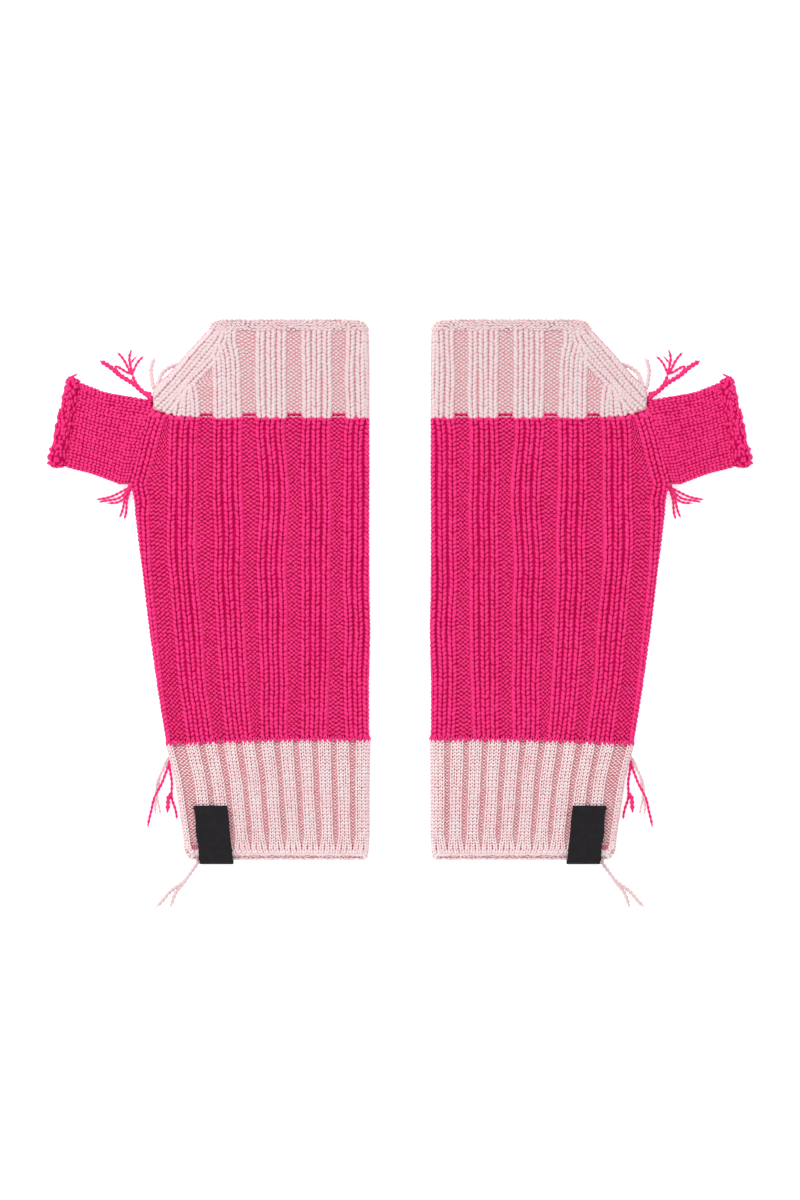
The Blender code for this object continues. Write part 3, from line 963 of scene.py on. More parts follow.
def palm_channels(columns, wave, dashes):
    """The channels' purl, with the pale dashes just under the band added to a list of their own."""
    batches = []
    for left, right in zip(columns, columns[1:]):
        gap = float(np.median(np.abs(right[:, 0] - left[:, 0])))
        if gap < CHANNEL_LEAST:
            continue
        beside_thumb = right is columns[PALM_RIB_COUNT * len(COLUMNS_IN_RIB)]
        paths, width = channel_paths(left, right, 4 if beside_thumb else 3)
        for path in paths:
            rows = rows_along(path, np.arange(PALM_ROWS + 1) + 0.5)
            batches.append(purl_column(on_hand, rows, width, wave))
            rows = rows_along(path, np.array([PALM_ROWS - 0.5, PALM_ROWS + 0.0]))
            dashes.append(purl_column(on_hand, rows, width[-2:], DASH_WAVE, keep=slice(1, 2)))
    return batches


def groove_tips(columns):
    """The last hot row's tips, which show between the band's first stitches."""
    rows = PALM_ROWS - 1.0 + np.array([0.0, TIP.rise])
    batches = []
    for path in columns:
        ends = rows_along(path, rows)
        for leg in LEGS:
            start = ends[:1] + np.array([[leg * TIP.foot, 0.0]])
            end = ends[1:] + np.array([[leg * TIP.head, 0.0]])
            batches.append(lay(on_hand, start, end, TIP.foot_lift, TIP.head_lift))
    return batches


PALM_VEE = Vee(foot=0.42, head=1.58, rise=1.2, foot_lift=-0.2, head_lift=-1.0)
TIP = Vee(foot=1.55, head=2.05, rise=1.6, foot_lift=-0.5, head_lift=-0.9)
PALM_WAVE = Wave(swing=0.22, lift=-0.95)
DASH_WAVE = Wave(swing=-0.1, lift=-0.8)  # one pale row that shows below the join with the band
FRONT_RIB_YARN = Yarn(FULL_GRAIN, HOT_YARN, 1.2, 1.6, 1.2, 0.09)
FRONT_PURL_YARN = Yarn(PURL_GRAIN, HOT_YARN, 1.5, 1.28, 1.0, 0.1)
BACK_RIB_YARN = Yarn(BACK_GRAIN, HOT_YARN, 1.15, 1.6, 1.15, 0.09)
BACK_PURL_YARN = Yarn(BACK_PURL_GRAIN, HOT_YARN, 1.42, 1.2, 0.95, 0.1)

palm_front = join_batches(
    [knit_column(on_hand, path, PALM_VEE) for path in FRONT_COLUMNS] + groove_tips(FRONT_COLUMNS)
)
palm_back = join_batches([knit_column(on_hand, path, PALM_VEE) for path in BACK_COLUMNS])
DASHES = []
palm_front_purl = join_batches(palm_channels(FRONT_COLUMNS, PALM_WAVE, DASHES))
palm_back_purl = join_batches(palm_channels(BACK_COLUMNS, PALM_WAVE, DASHES))
PALM_RIBS_PIECE = knit(
    "palm_ribs", [(palm_front, FRONT_RIB_YARN), (palm_back, BACK_RIB_YARN)], 100
)
PALM_CHANNELS_PIECE = knit(
    "palm_channels",
    [(palm_front_purl, FRONT_PURL_YARN), (palm_back_purl, BACK_PURL_YARN)],
    200,
)

# %% [markdown]
# ## The thin cloth under the palm's stitches
# The cloth is a closed wall: an outer skin that rises under each rib and sinks in the grooves and channels,
# and an inner skin. It carries the stitches and closes the view between them.

# %% A tube of cloth
ROUND_STEP = 1.5  # millimetres between points round the tube


def tube_mesh(name, place, girth, rows, row_v, outer_lift, wall, stitch_size, step, side):
    """A closed wall from rows of points. row_v gives the height of a row's points, outer_lift their depth."""
    count = int(round(2 * float(np.max(girth(rows))) / step))
    shares = np.linspace(-1, 1, count, endpoint=False)
    outer, inner, uv = [], [], []
    for row in rows:
        t = shares * girth(row)
        v = row_v(row, t)
        outer.append(place(t, v, outer_lift(t, v))[0])
        inner.append(place(t, v, -wall)[0])
        uv.append(np.stack([t / stitch_size[0], v / stitch_size[1]], axis=1))
    rings = outer + inner[::-1]
    points = to_table(np.concatenate(rings), side)
    uv = np.concatenate(uv + uv[::-1])
    faces = []
    for i in range(len(rings)):
        low, high = i * count, ((i + 1) % len(rings)) * count
        for j in range(count):
            k = (j + 1) % count
            faces.append((low + j, low + k, high + k, high + j))
    return solid_mesh(name, points, faces, uv)


def relief_from(columns, rib_lift, groove_lift, reach):
    """The outer skin's depth: high under the nearest knit column, low away from it."""
    heights = [path[:, 1] for path in columns]

    def lift(t, v):
        nearest = np.full(t.shape, 99.0)
        for path, known_v in zip(columns, heights):
            centre = np.interp(v, known_v, path[:, 0])
            girth = hand_girth(v)
            distance = np.abs((t - centre + girth) % (2 * girth) - girth)
            within = (v > known_v[0] - 1.5) & (v < known_v[-1] + 1.5)
            nearest = np.where(within, np.minimum(nearest, distance), nearest)
        share = np.clip((nearest - reach[0]) / (reach[1] - reach[0]), 0, 1)
        soft = share * share * (3 - 2 * share)
        return rib_lift + (groove_lift - rib_lift) * soft

    return lift


# %% The palm's cloth
PALM_STITCH = (2.27, 1.82)
palm_relief = relief_from(FRONT_COLUMNS + BACK_COLUMNS, -0.85, -1.25, (1.3, 2.2))


def share_of(t, v):
    """How far t is from the folded edge, as a share of the way to the thumb side."""
    return np.abs(t) / hand_girth(v)


UNDER_LOW, UNDER_HIGH = 0.1, 1.4  # the palm's cloth reaches this far under the cuff's and the band's stitches


def palm_row_v(row, t):
    share = share_of(t, row)
    low = join_v(share) - UNDER_LOW
    high = PALM_HIGH[0] + (PALM_HIGH[1] - PALM_HIGH[0]) * share**PALM_HIGH_BEND + UNDER_HIGH
    fraction = (row - PALM_LOW[0]) / (PALM_HIGH[0] - PALM_LOW[0])
    return low + (high - low) * fraction


PALM_CLOTH = make_pair(
    "palm_cloth",
    "hot_pink_knit",
    HOT_GROUND,
    tube_mesh,
    on_hand,
    hand_girth,
    np.linspace(PALM_LOW[0], PALM_HIGH[0], 34),
    palm_row_v,
    palm_relief,
    HAND_WALL,
    PALM_STITCH,
    ROUND_STEP,
)

# %% [markdown]
# ## The hand band
# The band carries the palm's ribs on in pale yarn, up to the fingers. Next to the thumb it is shaped: the
# outer columns turn and climb along the slanting edge, and the fourth rib's columns bend towards the
# corner, where one short column fills the gap between them.

# %% The band's columns
BAND_ROW = 1.6
BAND_START_V = 185.6
BAND_STOP_V = 223.6
BandColumn = namedtuple("BandColumn", "name points")
BAND_COLUMNS = (
    BandColumn("first_rib_edge", ((0.5, BAND_START_V), (0.6, BAND_STOP_V))),
    BandColumn("first_rib_middle", ((3.8, BAND_START_V), (3.9, BAND_STOP_V))),
    BandColumn("first_rib_inner", ((8.3, BAND_START_V), (8.4, BAND_STOP_V))),
    BandColumn("second_rib_outer", ((18.0, BAND_START_V), (17.9, BAND_STOP_V))),
    BandColumn("second_rib_middle", ((22.4, BAND_START_V), (22.5, BAND_STOP_V))),
    BandColumn("second_rib_inner", ((26.6, BAND_START_V), (26.9, BAND_STOP_V))),
    BandColumn("third_rib_outer", ((37.0, BAND_START_V), (37.0, BAND_STOP_V))),
    BandColumn("third_rib_middle", ((41.4, BAND_START_V), (41.6, BAND_STOP_V))),
    BandColumn("third_rib_inner", ((45.8, BAND_START_V), (46.2, BAND_STOP_V))),
    BandColumn(
        "fourth_rib_outer",
        ((55.8, BAND_START_V), (56.2, 206.0), (57.2, 213.0), (58.6, 218.4), (57.6, 224.0)),
    ),
    BandColumn("fourth_rib_middle", ((60.0, BAND_START_V), (60.2, 207.9), (60.9, 212.7), (62.6, 217.2))),
    BandColumn("fourth_rib_inner", ((64.1, BAND_START_V), (64.0, 209.5), (64.6, 212.5))),
    BandColumn("corner_filler", ((62.9, 216.4), (61.3, 219.4), (61.4, 223.8))),
    BandColumn("fifth_rib_outer", ((73.5, 186.2), (73.4, 194.6), (74.6, 199.9))),
    BandColumn("fifth_rib_middle", ((77.2, 186.4), (77.0, 194.8), (76.4, 199.1))),
    BandColumn("fifth_rib_inner", ((81.3, 186.6), (79.6, 194.6), (77.7, 198.8))),
    BandColumn(
        "third_slant",
        ((85.9, 188.0), (80.6, 194.0), (77.7, 198.0), (74.3, 201.7), (69.7, 206.3), (65.1, 211.1))
        + ((63.6, 216.0),),
    ),
    BandColumn(
        "second_slant",
        ((89.9, 189.8), (83.8, 195.7), (77.9, 202.0), (71.2, 210.0), (65.7, 216.7), (62.8, 220.4))
        + ((62.2, 224.4),),
    ),
    BandColumn(
        "first_slant",
        ((91.2, 192.6), (85.9, 198.7), (79.6, 205.8), (72.9, 213.8), (67.6, 219.7), (64.4, 224.0)),
    ),
)


def smooth_path(points, step):
    """A path through the points, rounded at its bends, with a point every step."""
    points = np.array(points, float)
    for _ in range(3):
        near = points[:-1] * 0.75 + points[1:] * 0.25
        far = points[:-1] * 0.25 + points[1:] * 0.75
        middle = np.stack([near, far], axis=1).reshape(-1, 2)
        points = np.concatenate([points[:1], middle, points[-1:]])
    run = np.concatenate([[0.0], np.cumsum(np.hypot(*np.diff(points, axis=0).T))])
    count = max(int(round(run[-1] / step)), 2)
    marks = np.linspace(0.0, run[-1], count + 1)
    return np.stack([np.interp(marks, run, points[:, k]) for k in (0, 1)], axis=1)


def band_path(column, face=1.0):
    path = smooth_path(column.points, BAND_ROW)
    path[:, 0] += wander(len(path), 0.14)
    return np.stack([face * t_at(path[:, 0], path[:, 1]), path[:, 1]], axis=1)


SLANT_EDGE_INSET = 1.4  # round the edge
SLANT_EDGE_V = np.linspace(194.5, 223.5, 80)[::8]


def slant_edge_path(face=1.0):
    """The outermost column, close to the edge of the slanting corner."""
    side = np.interp(SLANT_EDGE_V, OUTLINE_V, SIDE_U)
    path = smooth_path(np.stack([side, SLANT_EDGE_V], axis=1), BAND_ROW)
    return np.stack([face * (hand_girth(path[:, 1]) - SLANT_EDGE_INSET), path[:, 1]], axis=1)


BAND_FRONT = [band_path(column) for column in BAND_COLUMNS]
BAND_BACK = [band_path(column, -1.0) for column in BAND_COLUMNS]
print("band columns:", len(BAND_FRONT), "with", sum(len(path) for path in BAND_FRONT), "rows in all")

# %% [markdown]
# The channels between the straight ribs are purl, and so is the triangle that stays between the fifth rib
# and the fourth, under the slanting columns.

# %% The band's channels
BAND_RIB_HALF = 1.6  # a channel starts this far beside the middle of a knit column
BAND_CHANNEL_V = (188.6, 223.4)
TRIANGLE_EDGE = ((72.9, 188.2), (72.9, 199.0), (65.6, 209.4))  # on the thumb's side
TRIANGLE_INNER_EDGE = ((65.6, 188.0), (65.6, 210.0))
TRIANGLE_V = (188.6, 209.0)
LEAST_PURL = 0.6  # a narrower purl stitch than this is left out


def channel_between(left_line, right_line, heights, face, count=3):
    """Purl columns between two bent lines of points (u, v)."""
    rows = np.arange(*heights, BAND_ROW)
    left, right = (np.interp(rows, *np.array(line)[:, ::-1].T) for line in (left_line, right_line))
    width = (right - left) / count
    batches = []
    for k in range(count):
        u = left + width * (k + 0.5)
        path = np.stack([face * t_at(u, rows), rows], axis=1)
        batches.append(purl_column(on_hand, path, width, BAND_WAVE, 0.08, width > LEAST_PURL))
    return batches


def band_channels(face):
    batches = []
    for low_rib, high_rib in ((2, 3), (5, 6), (8, 9)):
        left = np.array(BAND_COLUMNS[low_rib].points) + (BAND_RIB_HALF, 0)
        right = np.array(BAND_COLUMNS[high_rib].points) - (BAND_RIB_HALF, 0)
        batches += channel_between(left, right, BAND_CHANNEL_V, face)
    return batches + channel_between(TRIANGLE_INNER_EDGE, TRIANGLE_EDGE, TRIANGLE_V, face)


BAND_VEE = Vee(foot=0.44, head=1.74, rise=1.3, foot_lift=-0.25, head_lift=-0.48)
BAND_WAVE = Wave(swing=0.14, lift=-0.58)
BAND_YARN = Yarn(BLUNT_GRAIN, PALE_YARN, 1.3, 2.0, 0.7, 0.08)
BAND_PURL_YARN = Yarn(PURL_GRAIN, PALE_YARN, 1.4, 1.3, 0.8, 0.08)
BAND_DASH_YARN = Yarn(PURL_GRAIN, PALE_YARN, 1.1, 0.5, 0.6, 0.08)
BAND_BACK_YARN = Yarn(BACK_GRAIN, PALE_YARN, 1.12, 1.75, 1.0, 0.06)
BAND_BACK_PURL_YARN = Yarn(BACK_PURL_GRAIN, PALE_YARN, 1.42, 1.08, 0.85, 0.08)

band_front = join_batches(
    [knit_column(on_hand, path, BAND_VEE, 0.09) for path in BAND_FRONT + [slant_edge_path()]]
)
band_back = join_batches(
    [knit_column(on_hand, path, BAND_VEE, 0.09) for path in BAND_BACK + [slant_edge_path(-1.0)]]
)
BAND_RIBS_PIECE = knit(
    "band_ribs", [(band_front, BAND_YARN), (band_back, BAND_BACK_YARN)], 300
)
BAND_CHANNELS_PIECE = knit(
    "band_channels",
    [
        (join_batches(band_channels(1.0)), BAND_PURL_YARN),
        (join_batches(band_channels(-1.0)), BAND_BACK_PURL_YARN),
        (join_batches(DASHES), BAND_DASH_YARN),
    ],
    400,
)

# %% The band's cloth
BAND_LOW_GAP = 1.3  # from the join up to the cloth's lower edge
BAND_CLOTH_HIGH = FINGER_EDGE_V - 1.0
BAND_STITCH = (2.27, BAND_ROW)
band_relief = relief_from(BAND_FRONT + BAND_BACK, -0.6, -0.75, (1.3, 2.2))


def band_row_v(row, t):
    share = share_of(t, row)
    low = PALM_HIGH[0] + BAND_LOW_GAP + (PALM_HIGH[1] - PALM_HIGH[0]) * share**PALM_HIGH_BEND
    fraction = (row - PALM_HIGH[0]) / (BAND_CLOTH_HIGH - PALM_HIGH[0])
    return low + (BAND_CLOTH_HIGH - low) * fraction


BAND_CLOTH = make_pair(
    "band_cloth",
    "pale_pink_knit",
    PALE_GROUND,
    tube_mesh,
    on_hand,
    hand_girth,
    np.linspace(PALM_HIGH[0], BAND_CLOTH_HIGH, 22),
    band_row_v,
    band_relief,
    HAND_WALL,
    BAND_STITCH,
    ROUND_STEP,
)

# %% [markdown]
# ## The cuff
# The cuff is a finer rib: three narrow knit columns, then two purl ones, ten times over the front, with a
# wider channel of three beside the thumb side's own columns. At the hem the knit columns spread and close
# over the channels, which end in points.

# %% The cuff's columns
CUFF_ROW = 1.43
CUFF_LOW_V = 0.5
CUFF_RIB_FIRST = 0.043  # shares of the width
CUFF_RIB_STEP = 0.0917
CUFF_RIBS = 10
CUFF_COLUMN = 0.0205
CUFF_EDGE_RIB = 0.974
HEM_SPREAD_V = (5.0, 12.0)  # the columns spread below the upper of these heights
HEM_SPREAD = 1.5
CUFF_SIDE_SHIFTS = (1.95, 3.75)  # two columns on each face beside the thumb side, round from its middle
CUFF_FOLD_SHIFT = 1.7  # and one beside the folded edge


def cuff_v(share):
    """The heights of the cuff's rows at a share of the width: they end at the palm's join."""
    top = join_v(share) + 0.1
    count = int(round((top - CUFF_LOW_V) / CUFF_ROW))
    return np.linspace(CUFF_LOW_V, top, count + 1)


def cuff_spread(v):
    share = np.clip((HEM_SPREAD_V[1] - v) / (HEM_SPREAD_V[1] - HEM_SPREAD_V[0]), 0, 1)
    return 1 + (HEM_SPREAD - 1) * share * share


def cuff_path(middle, place_in_rib, face):
    v = cuff_v(middle + place_in_rib * CUFF_COLUMN)
    fold, width = hand_section(v, CUFF_HEIGHT)[:2]
    u = fold + width * (middle + place_in_rib * CUFF_COLUMN * cuff_spread(v))
    u = np.clip(u, fold, fold + width)
    return np.stack([face * (t_at(u, v, CUFF_HEIGHT) + wander(len(v), 0.07)), v], axis=1)


def rib_middles():
    return [CUFF_RIB_FIRST + CUFF_RIB_STEP * i for i in range(CUFF_RIBS)]


def cuff_edge_path(t_shift, at_side):
    """A column along the folded edge, or along the thumb side, t_shift round from its middle."""
    v = cuff_v(1.0 if at_side else 0.0)
    start = hand_girth(v, CUFF_HEIGHT) if at_side else 0.0
    return np.stack([start + t_shift + 0 * v, v], axis=1)


def cuff_columns(face):
    columns = [cuff_path(middle, k, face) for middle in rib_middles() for k in COLUMNS_IN_RIB]
    for shift in CUFF_SIDE_SHIFTS:
        columns.append(cuff_edge_path(-shift * face, True))
    columns.append(cuff_edge_path(CUFF_FOLD_SHIFT * face, False))
    if face > 0:
        columns += [cuff_edge_path(0.0, True), cuff_edge_path(0.0, False)]
    return columns


CUFF_FRONT = cuff_columns(1.0)
CUFF_BACK = cuff_columns(-1.0)
print("cuff columns on the front:", len(CUFF_FRONT))

# %% The cuff's channels
CUFF_CHANNEL_LOW = 6.0
CHANNEL_CLOSING = 0.55  # the share of its width that a channel loses at the hem
CUFF_RIB_HALF = CUFF_COLUMN * 1.14  # from a rib's middle to its channel, as a share of the width


def cuff_channel(low_share, high_share, count, face):
    """Purl columns between two shares of the width, which close towards the hem."""
    v = cuff_v((low_share + high_share) / 2)
    v = v[v > CUFF_CHANNEL_LOW]
    fold, width = hand_section(v, CUFF_HEIGHT)[:2]
    middle = fold + width * (low_share + high_share) / 2
    closing = 1 - CHANNEL_CLOSING * (cuff_spread(v) - 1) / (HEM_SPREAD - 1)
    one = width * (high_share - low_share) / count * closing
    batches = []
    for k in range(count):
        u = middle + one * (k + 0.5 - count / 2)
        path = np.stack([face * t_at(u, v, CUFF_HEIGHT), v], axis=1)
        batches.append(purl_column(on_cuff, path, one, CUFF_WAVE, 0.05))
    return batches


def cuff_channels(face):
    middles = rib_middles()
    batches = []
    for low, high in zip(middles, middles[1:]):
        batches += cuff_channel(low + CUFF_RIB_HALF, high - CUFF_RIB_HALF, 2, face)
    batches += cuff_channel(middles[-1] + CUFF_RIB_HALF, CUFF_EDGE_RIB - CUFF_RIB_HALF * 0.6, 3, face)
    return batches


CUFF_VEE = Vee(foot=0.2, head=0.8, rise=1.14, foot_lift=-0.05, head_lift=-0.35)
CUFF_WAVE = Wave(swing=0.2, lift=-0.72)
HEM_WIDER, HEM_WIDER_V = 0.4, (3.0, 7.0)  # how much wider the stitches get from the upper height to the lower
# the ribs take the yarn copy with painted light, the channels the copy with painted shade
CUFF_YARN = Yarn(SMALL_GRAIN, LIT_FINE_YARN, 1.14, 1.02, 0.5, 0.07)
CUFF_PURL_YARN = Yarn(SMALL_PURL_GRAIN, SHADED_SUNK_YARN, 1.45, 0.84, 0.5, 0.07)
CUFF_BACK_PURL_YARN = Yarn(BACK_PURL_GRAIN, SHADED_SUNK_YARN, 1.42, 0.98, 0.6, 0.07)
CUFF_BACK_YARN = Yarn(BACK_GRAIN, LIT_FINE_YARN, 1.18, 0.95, 0.65, 0.06)


def cuff_stitches(columns):
    """The columns' stitches, which are wider where the columns spread at the hem."""
    low, high = HEM_WIDER_V
    batches = []
    for path in columns:
        weight = 1 + HEM_WIDER * np.clip((high - path[:-1, 1]) / (high - low), 0, 1)
        batches.append(knit_column(on_cuff, path, CUFF_VEE, 0.05, weight))
    return join_batches(batches)


cuff_front = cuff_stitches(CUFF_FRONT)
cuff_back = cuff_stitches(CUFF_BACK)
cuff_front_purl = join_batches(cuff_channels(1.0))
cuff_back_purl = join_batches(cuff_channels(-1.0))
CUFF_RIBS_PIECE = knit(
    "cuff_ribs", [(cuff_front, CUFF_YARN), (cuff_back, CUFF_BACK_YARN)], 500
)
CUFF_CHANNELS_PIECE = knit(
    "cuff_channels",
    [(cuff_front_purl, CUFF_PURL_YARN), (cuff_back_purl, CUFF_BACK_PURL_YARN)],
    600,
)


# %% The cuff's cloth
CUFF_CLOTH_LOW = 1.6
CUFF_STITCH = (1.6, CUFF_ROW)
CUFF_ROUND_STEP = 0.9
cuff_relief = relief_from(CUFF_FRONT + CUFF_BACK, -0.42, -0.9, (0.9, 1.3))


def cuff_girth(v):
    return hand_girth(v, CUFF_HEIGHT)


def cuff_row_v(row, t):
    share = np.abs(t) / cuff_girth(row)
    top = join_v(share)
    return CUFF_CLOTH_LOW + (top - CUFF_CLOTH_LOW) * (row - CUFF_CLOTH_LOW) / (PALM_LOW[0] - CUFF_CLOTH_LOW)


CUFF_CLOTH = make_pair(
    "cuff_cloth",
    "pale_pink_knit",
    CUFF_GROUND,
    tube_mesh,
    on_cuff,
    cuff_girth,
    np.linspace(CUFF_CLOTH_LOW, PALM_LOW[0], 22),
    cuff_row_v,
    cuff_relief,
    CUFF_WALL,
    CUFF_STITCH,
    CUFF_ROUND_STEP,
)

# %% [markdown]
# ## The thumb
# The thumb is plain knit, with its V's pointing at the palm, fifteen columns over each face. Its cloth is
# thin, so its free edge curls back on itself and shows the bumpy purl side.

# %% The thumb's stitches
THUMB_COLUMNS = 15
THUMB_ROW = 1.71
THUMB_ROWS_S = (0.3, 29.5)
THUMB_VEE = Vee(foot=0.28, head=1.05, rise=1.1, foot_lift=-0.15, head_lift=-0.7)
THUMB_YARN = Yarn(FULL_GRAIN, HOT_YARN, 1.18, 1.3, 0.85, 0.1)
THUMB_BACK_YARN = Yarn(BACK_GRAIN, HOT_YARN, 1.05, 1.1, 0.95, 0.08)


def thumb_path(share):
    s = np.arange(*THUMB_ROWS_S, THUMB_ROW)
    return np.stack([share * thumb_girth(s) + wander(len(s), 0.1), s], axis=1)


def thumb_columns(face):
    shares = [face * (k + 0.5) / THUMB_COLUMNS for k in range(THUMB_COLUMNS)]
    return [knit_column(on_thumb, thumb_path(share), THUMB_VEE, 0.09) for share in shares]


thumb_front = join_batches(thumb_columns(1.0))
thumb_back = join_batches(thumb_columns(-1.0))
THUMB_PIECE = knit(
    "thumb_stitches", [(thumb_front, THUMB_YARN), (thumb_back, THUMB_BACK_YARN)], 700
)

# %% The thumb's cloth
THUMB_CLOTH_S = (0.1, 34.5)
THUMB_CLOTH_LIFT = -0.6
THUMB_STITCH = (2.6, THUMB_ROW)


def straight_row(row, t):
    return row + 0 * t


def even_lift(t, v):
    return np.full(np.shape(t), THUMB_CLOTH_LIFT)


THUMB_CLOTH = make_pair(
    "thumb_cloth",
    "hot_pink_knit",
    HOT_GROUND,
    tube_mesh,
    on_thumb,
    thumb_girth,
    np.linspace(*THUMB_CLOTH_S, 22),
    straight_row,
    even_lift,
    THUMB_WALL,
    THUMB_STITCH,
    ROUND_STEP,
)

# %% [markdown]
# ## Rolled and bound edges
# The hem, the finger edge and the thumb's edge are rolls of yarn. Each is a closed ring of cloth that
# follows the tube's edge, a little wavy and with small knobs, one for each stitch. Purl grains lie on the
# finger edge, where the stitches are bound off, and on the thumb's edge, where the cloth curls over and
# shows its back.


# %% A roll along an edge
def corner_dip(t, girth):
    """How far the finger edge drops at the folded edge and at the slanting corner."""
    fold = 1.3 * np.exp(-((t / 3.4) ** 2))
    corner = 0.7 * np.exp(-(((girth - np.abs(t)) / 3.5) ** 2))
    return fold + corner


Roll = namedtuple("Roll", "place girth middle half_length half_depth sink swing wave dips thicker")
HEM_EDGE = Roll(
    place=on_cuff,
    girth=cuff_girth,
    middle=1.1,
    half_length=1.3,
    half_depth=0.8,
    sink=0.28,
    swing=0.14,
    wave=7.9,
    dips=0.0,
    thicker=1.1,
)
FINGER_EDGE = Roll(
    place=on_hand,
    girth=hand_girth,
    middle=226.0,
    half_length=1.1,
    half_depth=0.95,
    sink=0.3,
    swing=0.2,
    wave=8.4,
    dips=1.0,
    thicker=0.0,
)
THUMB_EDGE = Roll(
    place=on_thumb,
    girth=thumb_girth,
    middle=32.9,
    half_length=2.9,
    half_depth=1.1,
    sink=0.0,
    swing=0.25,
    wave=7.0,
    dips=0.0,
    thicker=0.0,
)
KNOB_HEIGHT, KNOB_PITCH = 0.14, 1.9
ROLL_STEPS, ROLL_SIDES = 270, 8
ROLL_SHADE = 0.75


def roll_mesh(name, roll, side):
    """A knobbly ring round the tube, sunk a little, with waves, and thicker on the back by a share."""
    half_round = float(roll.girth(roll.middle))
    t = np.linspace(-1, 1, ROLL_STEPS, endpoint=False) * half_round
    middle = roll.middle - roll.dips * corner_dip(t, half_round)
    ripple = np.sin(2 * math.pi * t / roll.wave) + 0.6 * np.sin(2 * math.pi * t / (roll.wave * 0.37) + 1.0)
    half_depth = roll.half_depth * (1 + roll.thicker * np.clip(-t / 8.0, 0, 1))
    knob = KNOB_HEIGHT * np.sin(2 * math.pi * t / KNOB_PITCH + 0.8 * np.sin(t / 3.0))
    rings = []
    for i in range(ROLL_SIDES):
        turn = 2 * math.pi * i / ROLL_SIDES
        v = middle + roll.half_length * math.cos(turn) + roll.swing * ripple
        lift = -half_depth - roll.sink + (half_depth + knob) * math.sin(turn)
        rings.append(roll.place(t, v, lift)[0])
    points = to_table(np.stack(rings, axis=1).reshape(-1, 3), side)
    faces, uv = [], []
    for i in range(ROLL_STEPS):
        low, high = i * ROLL_SIDES, (i + 1) % ROLL_STEPS * ROLL_SIDES
        for j in range(ROLL_SIDES):
            k = (j + 1) % ROLL_SIDES
            faces.append((low + j, low + k, high + k, high + j))
            uv.append((i * 0.3, j / ROLL_SIDES))
    return solid_mesh(name, points, faces, uv, ROLL_SHADE)


# the hem's roll takes the yarn copy with painted light
HEM_ROLL = make_pair("hem_roll", "pale_pink_knit", LIT_FINE_YARN, roll_mesh, HEM_EDGE)
FINGER_ROLL = make_pair("finger_edge_roll", "pale_pink_knit", PALE_YARN, roll_mesh, FINGER_EDGE)
# the thumb's roll lies under the curled rows and takes the hot ground's colour, painted shade between them
THUMB_ROLL = make_pair("thumb_edge_roll", "hot_pink_knit", HOT_GROUND, roll_mesh, THUMB_EDGE)


# %% Bound rows below the finger edge, and the thumb's curled rows
def ring_of_purl(place, girth, height, count, wave, jitter, dips=0.0):
    """One row of purl all round a tube."""
    half_round = float(girth(height))
    t = (np.arange(count) / count * 2 - 1) * half_round
    path = np.stack([t, height - dips * corner_dip(t, half_round)], axis=1)
    quarter_width = np.array([2 * half_round / count / 4, 0.0])
    swing = np.array([0.0, wave.swing])
    return purl_grains(place, path, quarter_width, swing, wave.lift, jitter)


BOUND_WAVE = Wave(swing=0.12, lift=-0.15)
BOUND_ROWS = ((223.2, 0.4), (224.2, 0.6), (225.3, 0.9), (226.3, 1.0))  # heights and shares of the dip
BOUND_YARN = Yarn(PURL_GRAIN, PALE_YARN, 1.75, 1.25, 0.7, 0.1)
bound_rows = join_batches(
    [ring_of_purl(on_hand, hand_girth, v, 70, BOUND_WAVE, 0.13, dips) for v, dips in BOUND_ROWS]
)
BOUND_PIECE = knit("bound_rows", [(bound_rows, BOUND_YARN)], 800)

CURL_EDGE_WAVE = Wave(swing=0.3, lift=-0.9)
CURL_YARN = Yarn(PURL_GRAIN, HOT_YARN, 1.45, 1.45, 1.2, 0.22)
CURL_ROWS = ((29.9, -0.75), (31.2, -0.4), (32.6, -0.2), (33.9, -0.2), (35.1, -0.4))  # places and lifts
curl_rows = join_batches(
    [ring_of_purl(on_thumb, thumb_girth, s, 29, Wave(0.25, lift), 0.36) for s, lift in CURL_ROWS]
    + [ring_of_purl(on_thumb, thumb_girth, 36.0, 20, CURL_EDGE_WAVE, 0.4)]
)
CURL_PIECE = knit("thumb_curl", [(curl_rows, CURL_YARN)], 850)


# %% The inside of the back layer's hem, and the hot row that closes the join
def hem_inside(height, count, swing, lift):
    """The back layer shows its purl side just below the front layer's hem, turned up towards the light."""
    ring = ring_of_purl(on_cuff, cuff_girth, height, count, Wave(swing, lift), 0.15)
    back = ring.outward[:, 2] < -0.5
    return Batch(ring.start[back], ring.end[back], -ring.outward[back], ring.weight[back])


JOIN_PITCH = 2.1
JOIN_DROP = 2.0  # how far the V's points reach down over the cuff from the palm's first row
JOIN_VEE = Vee(foot=0.08, head=0.85, rise=2.9, foot_lift=-0.1, head_lift=-0.5)  # its rise in millimetres


def join_row():
    """A row of hot V's where the palm is knitted onto the cuff."""
    girth = float(hand_girth(PALM_LOW[0]))
    count = int(round(2 * girth / JOIN_PITCH))
    t = (np.arange(count) / count * 2 - 1) * girth
    path = np.stack([t, join_v(np.abs(t) / girth) + FIRST_ROW], axis=1)
    batches = []
    for leg in LEGS:
        shake = RANDOM.normal(0.0, 0.1, (2, count, 2))
        start = path + np.array([leg * JOIN_VEE.foot, -JOIN_DROP]) + shake[0]
        end = path + np.array([leg * JOIN_VEE.head, JOIN_VEE.rise - JOIN_DROP]) + shake[1]
        batches.append(lay(on_hand, start, end, JOIN_VEE.foot_lift, JOIN_VEE.head_lift))
    return join_batches(batches)
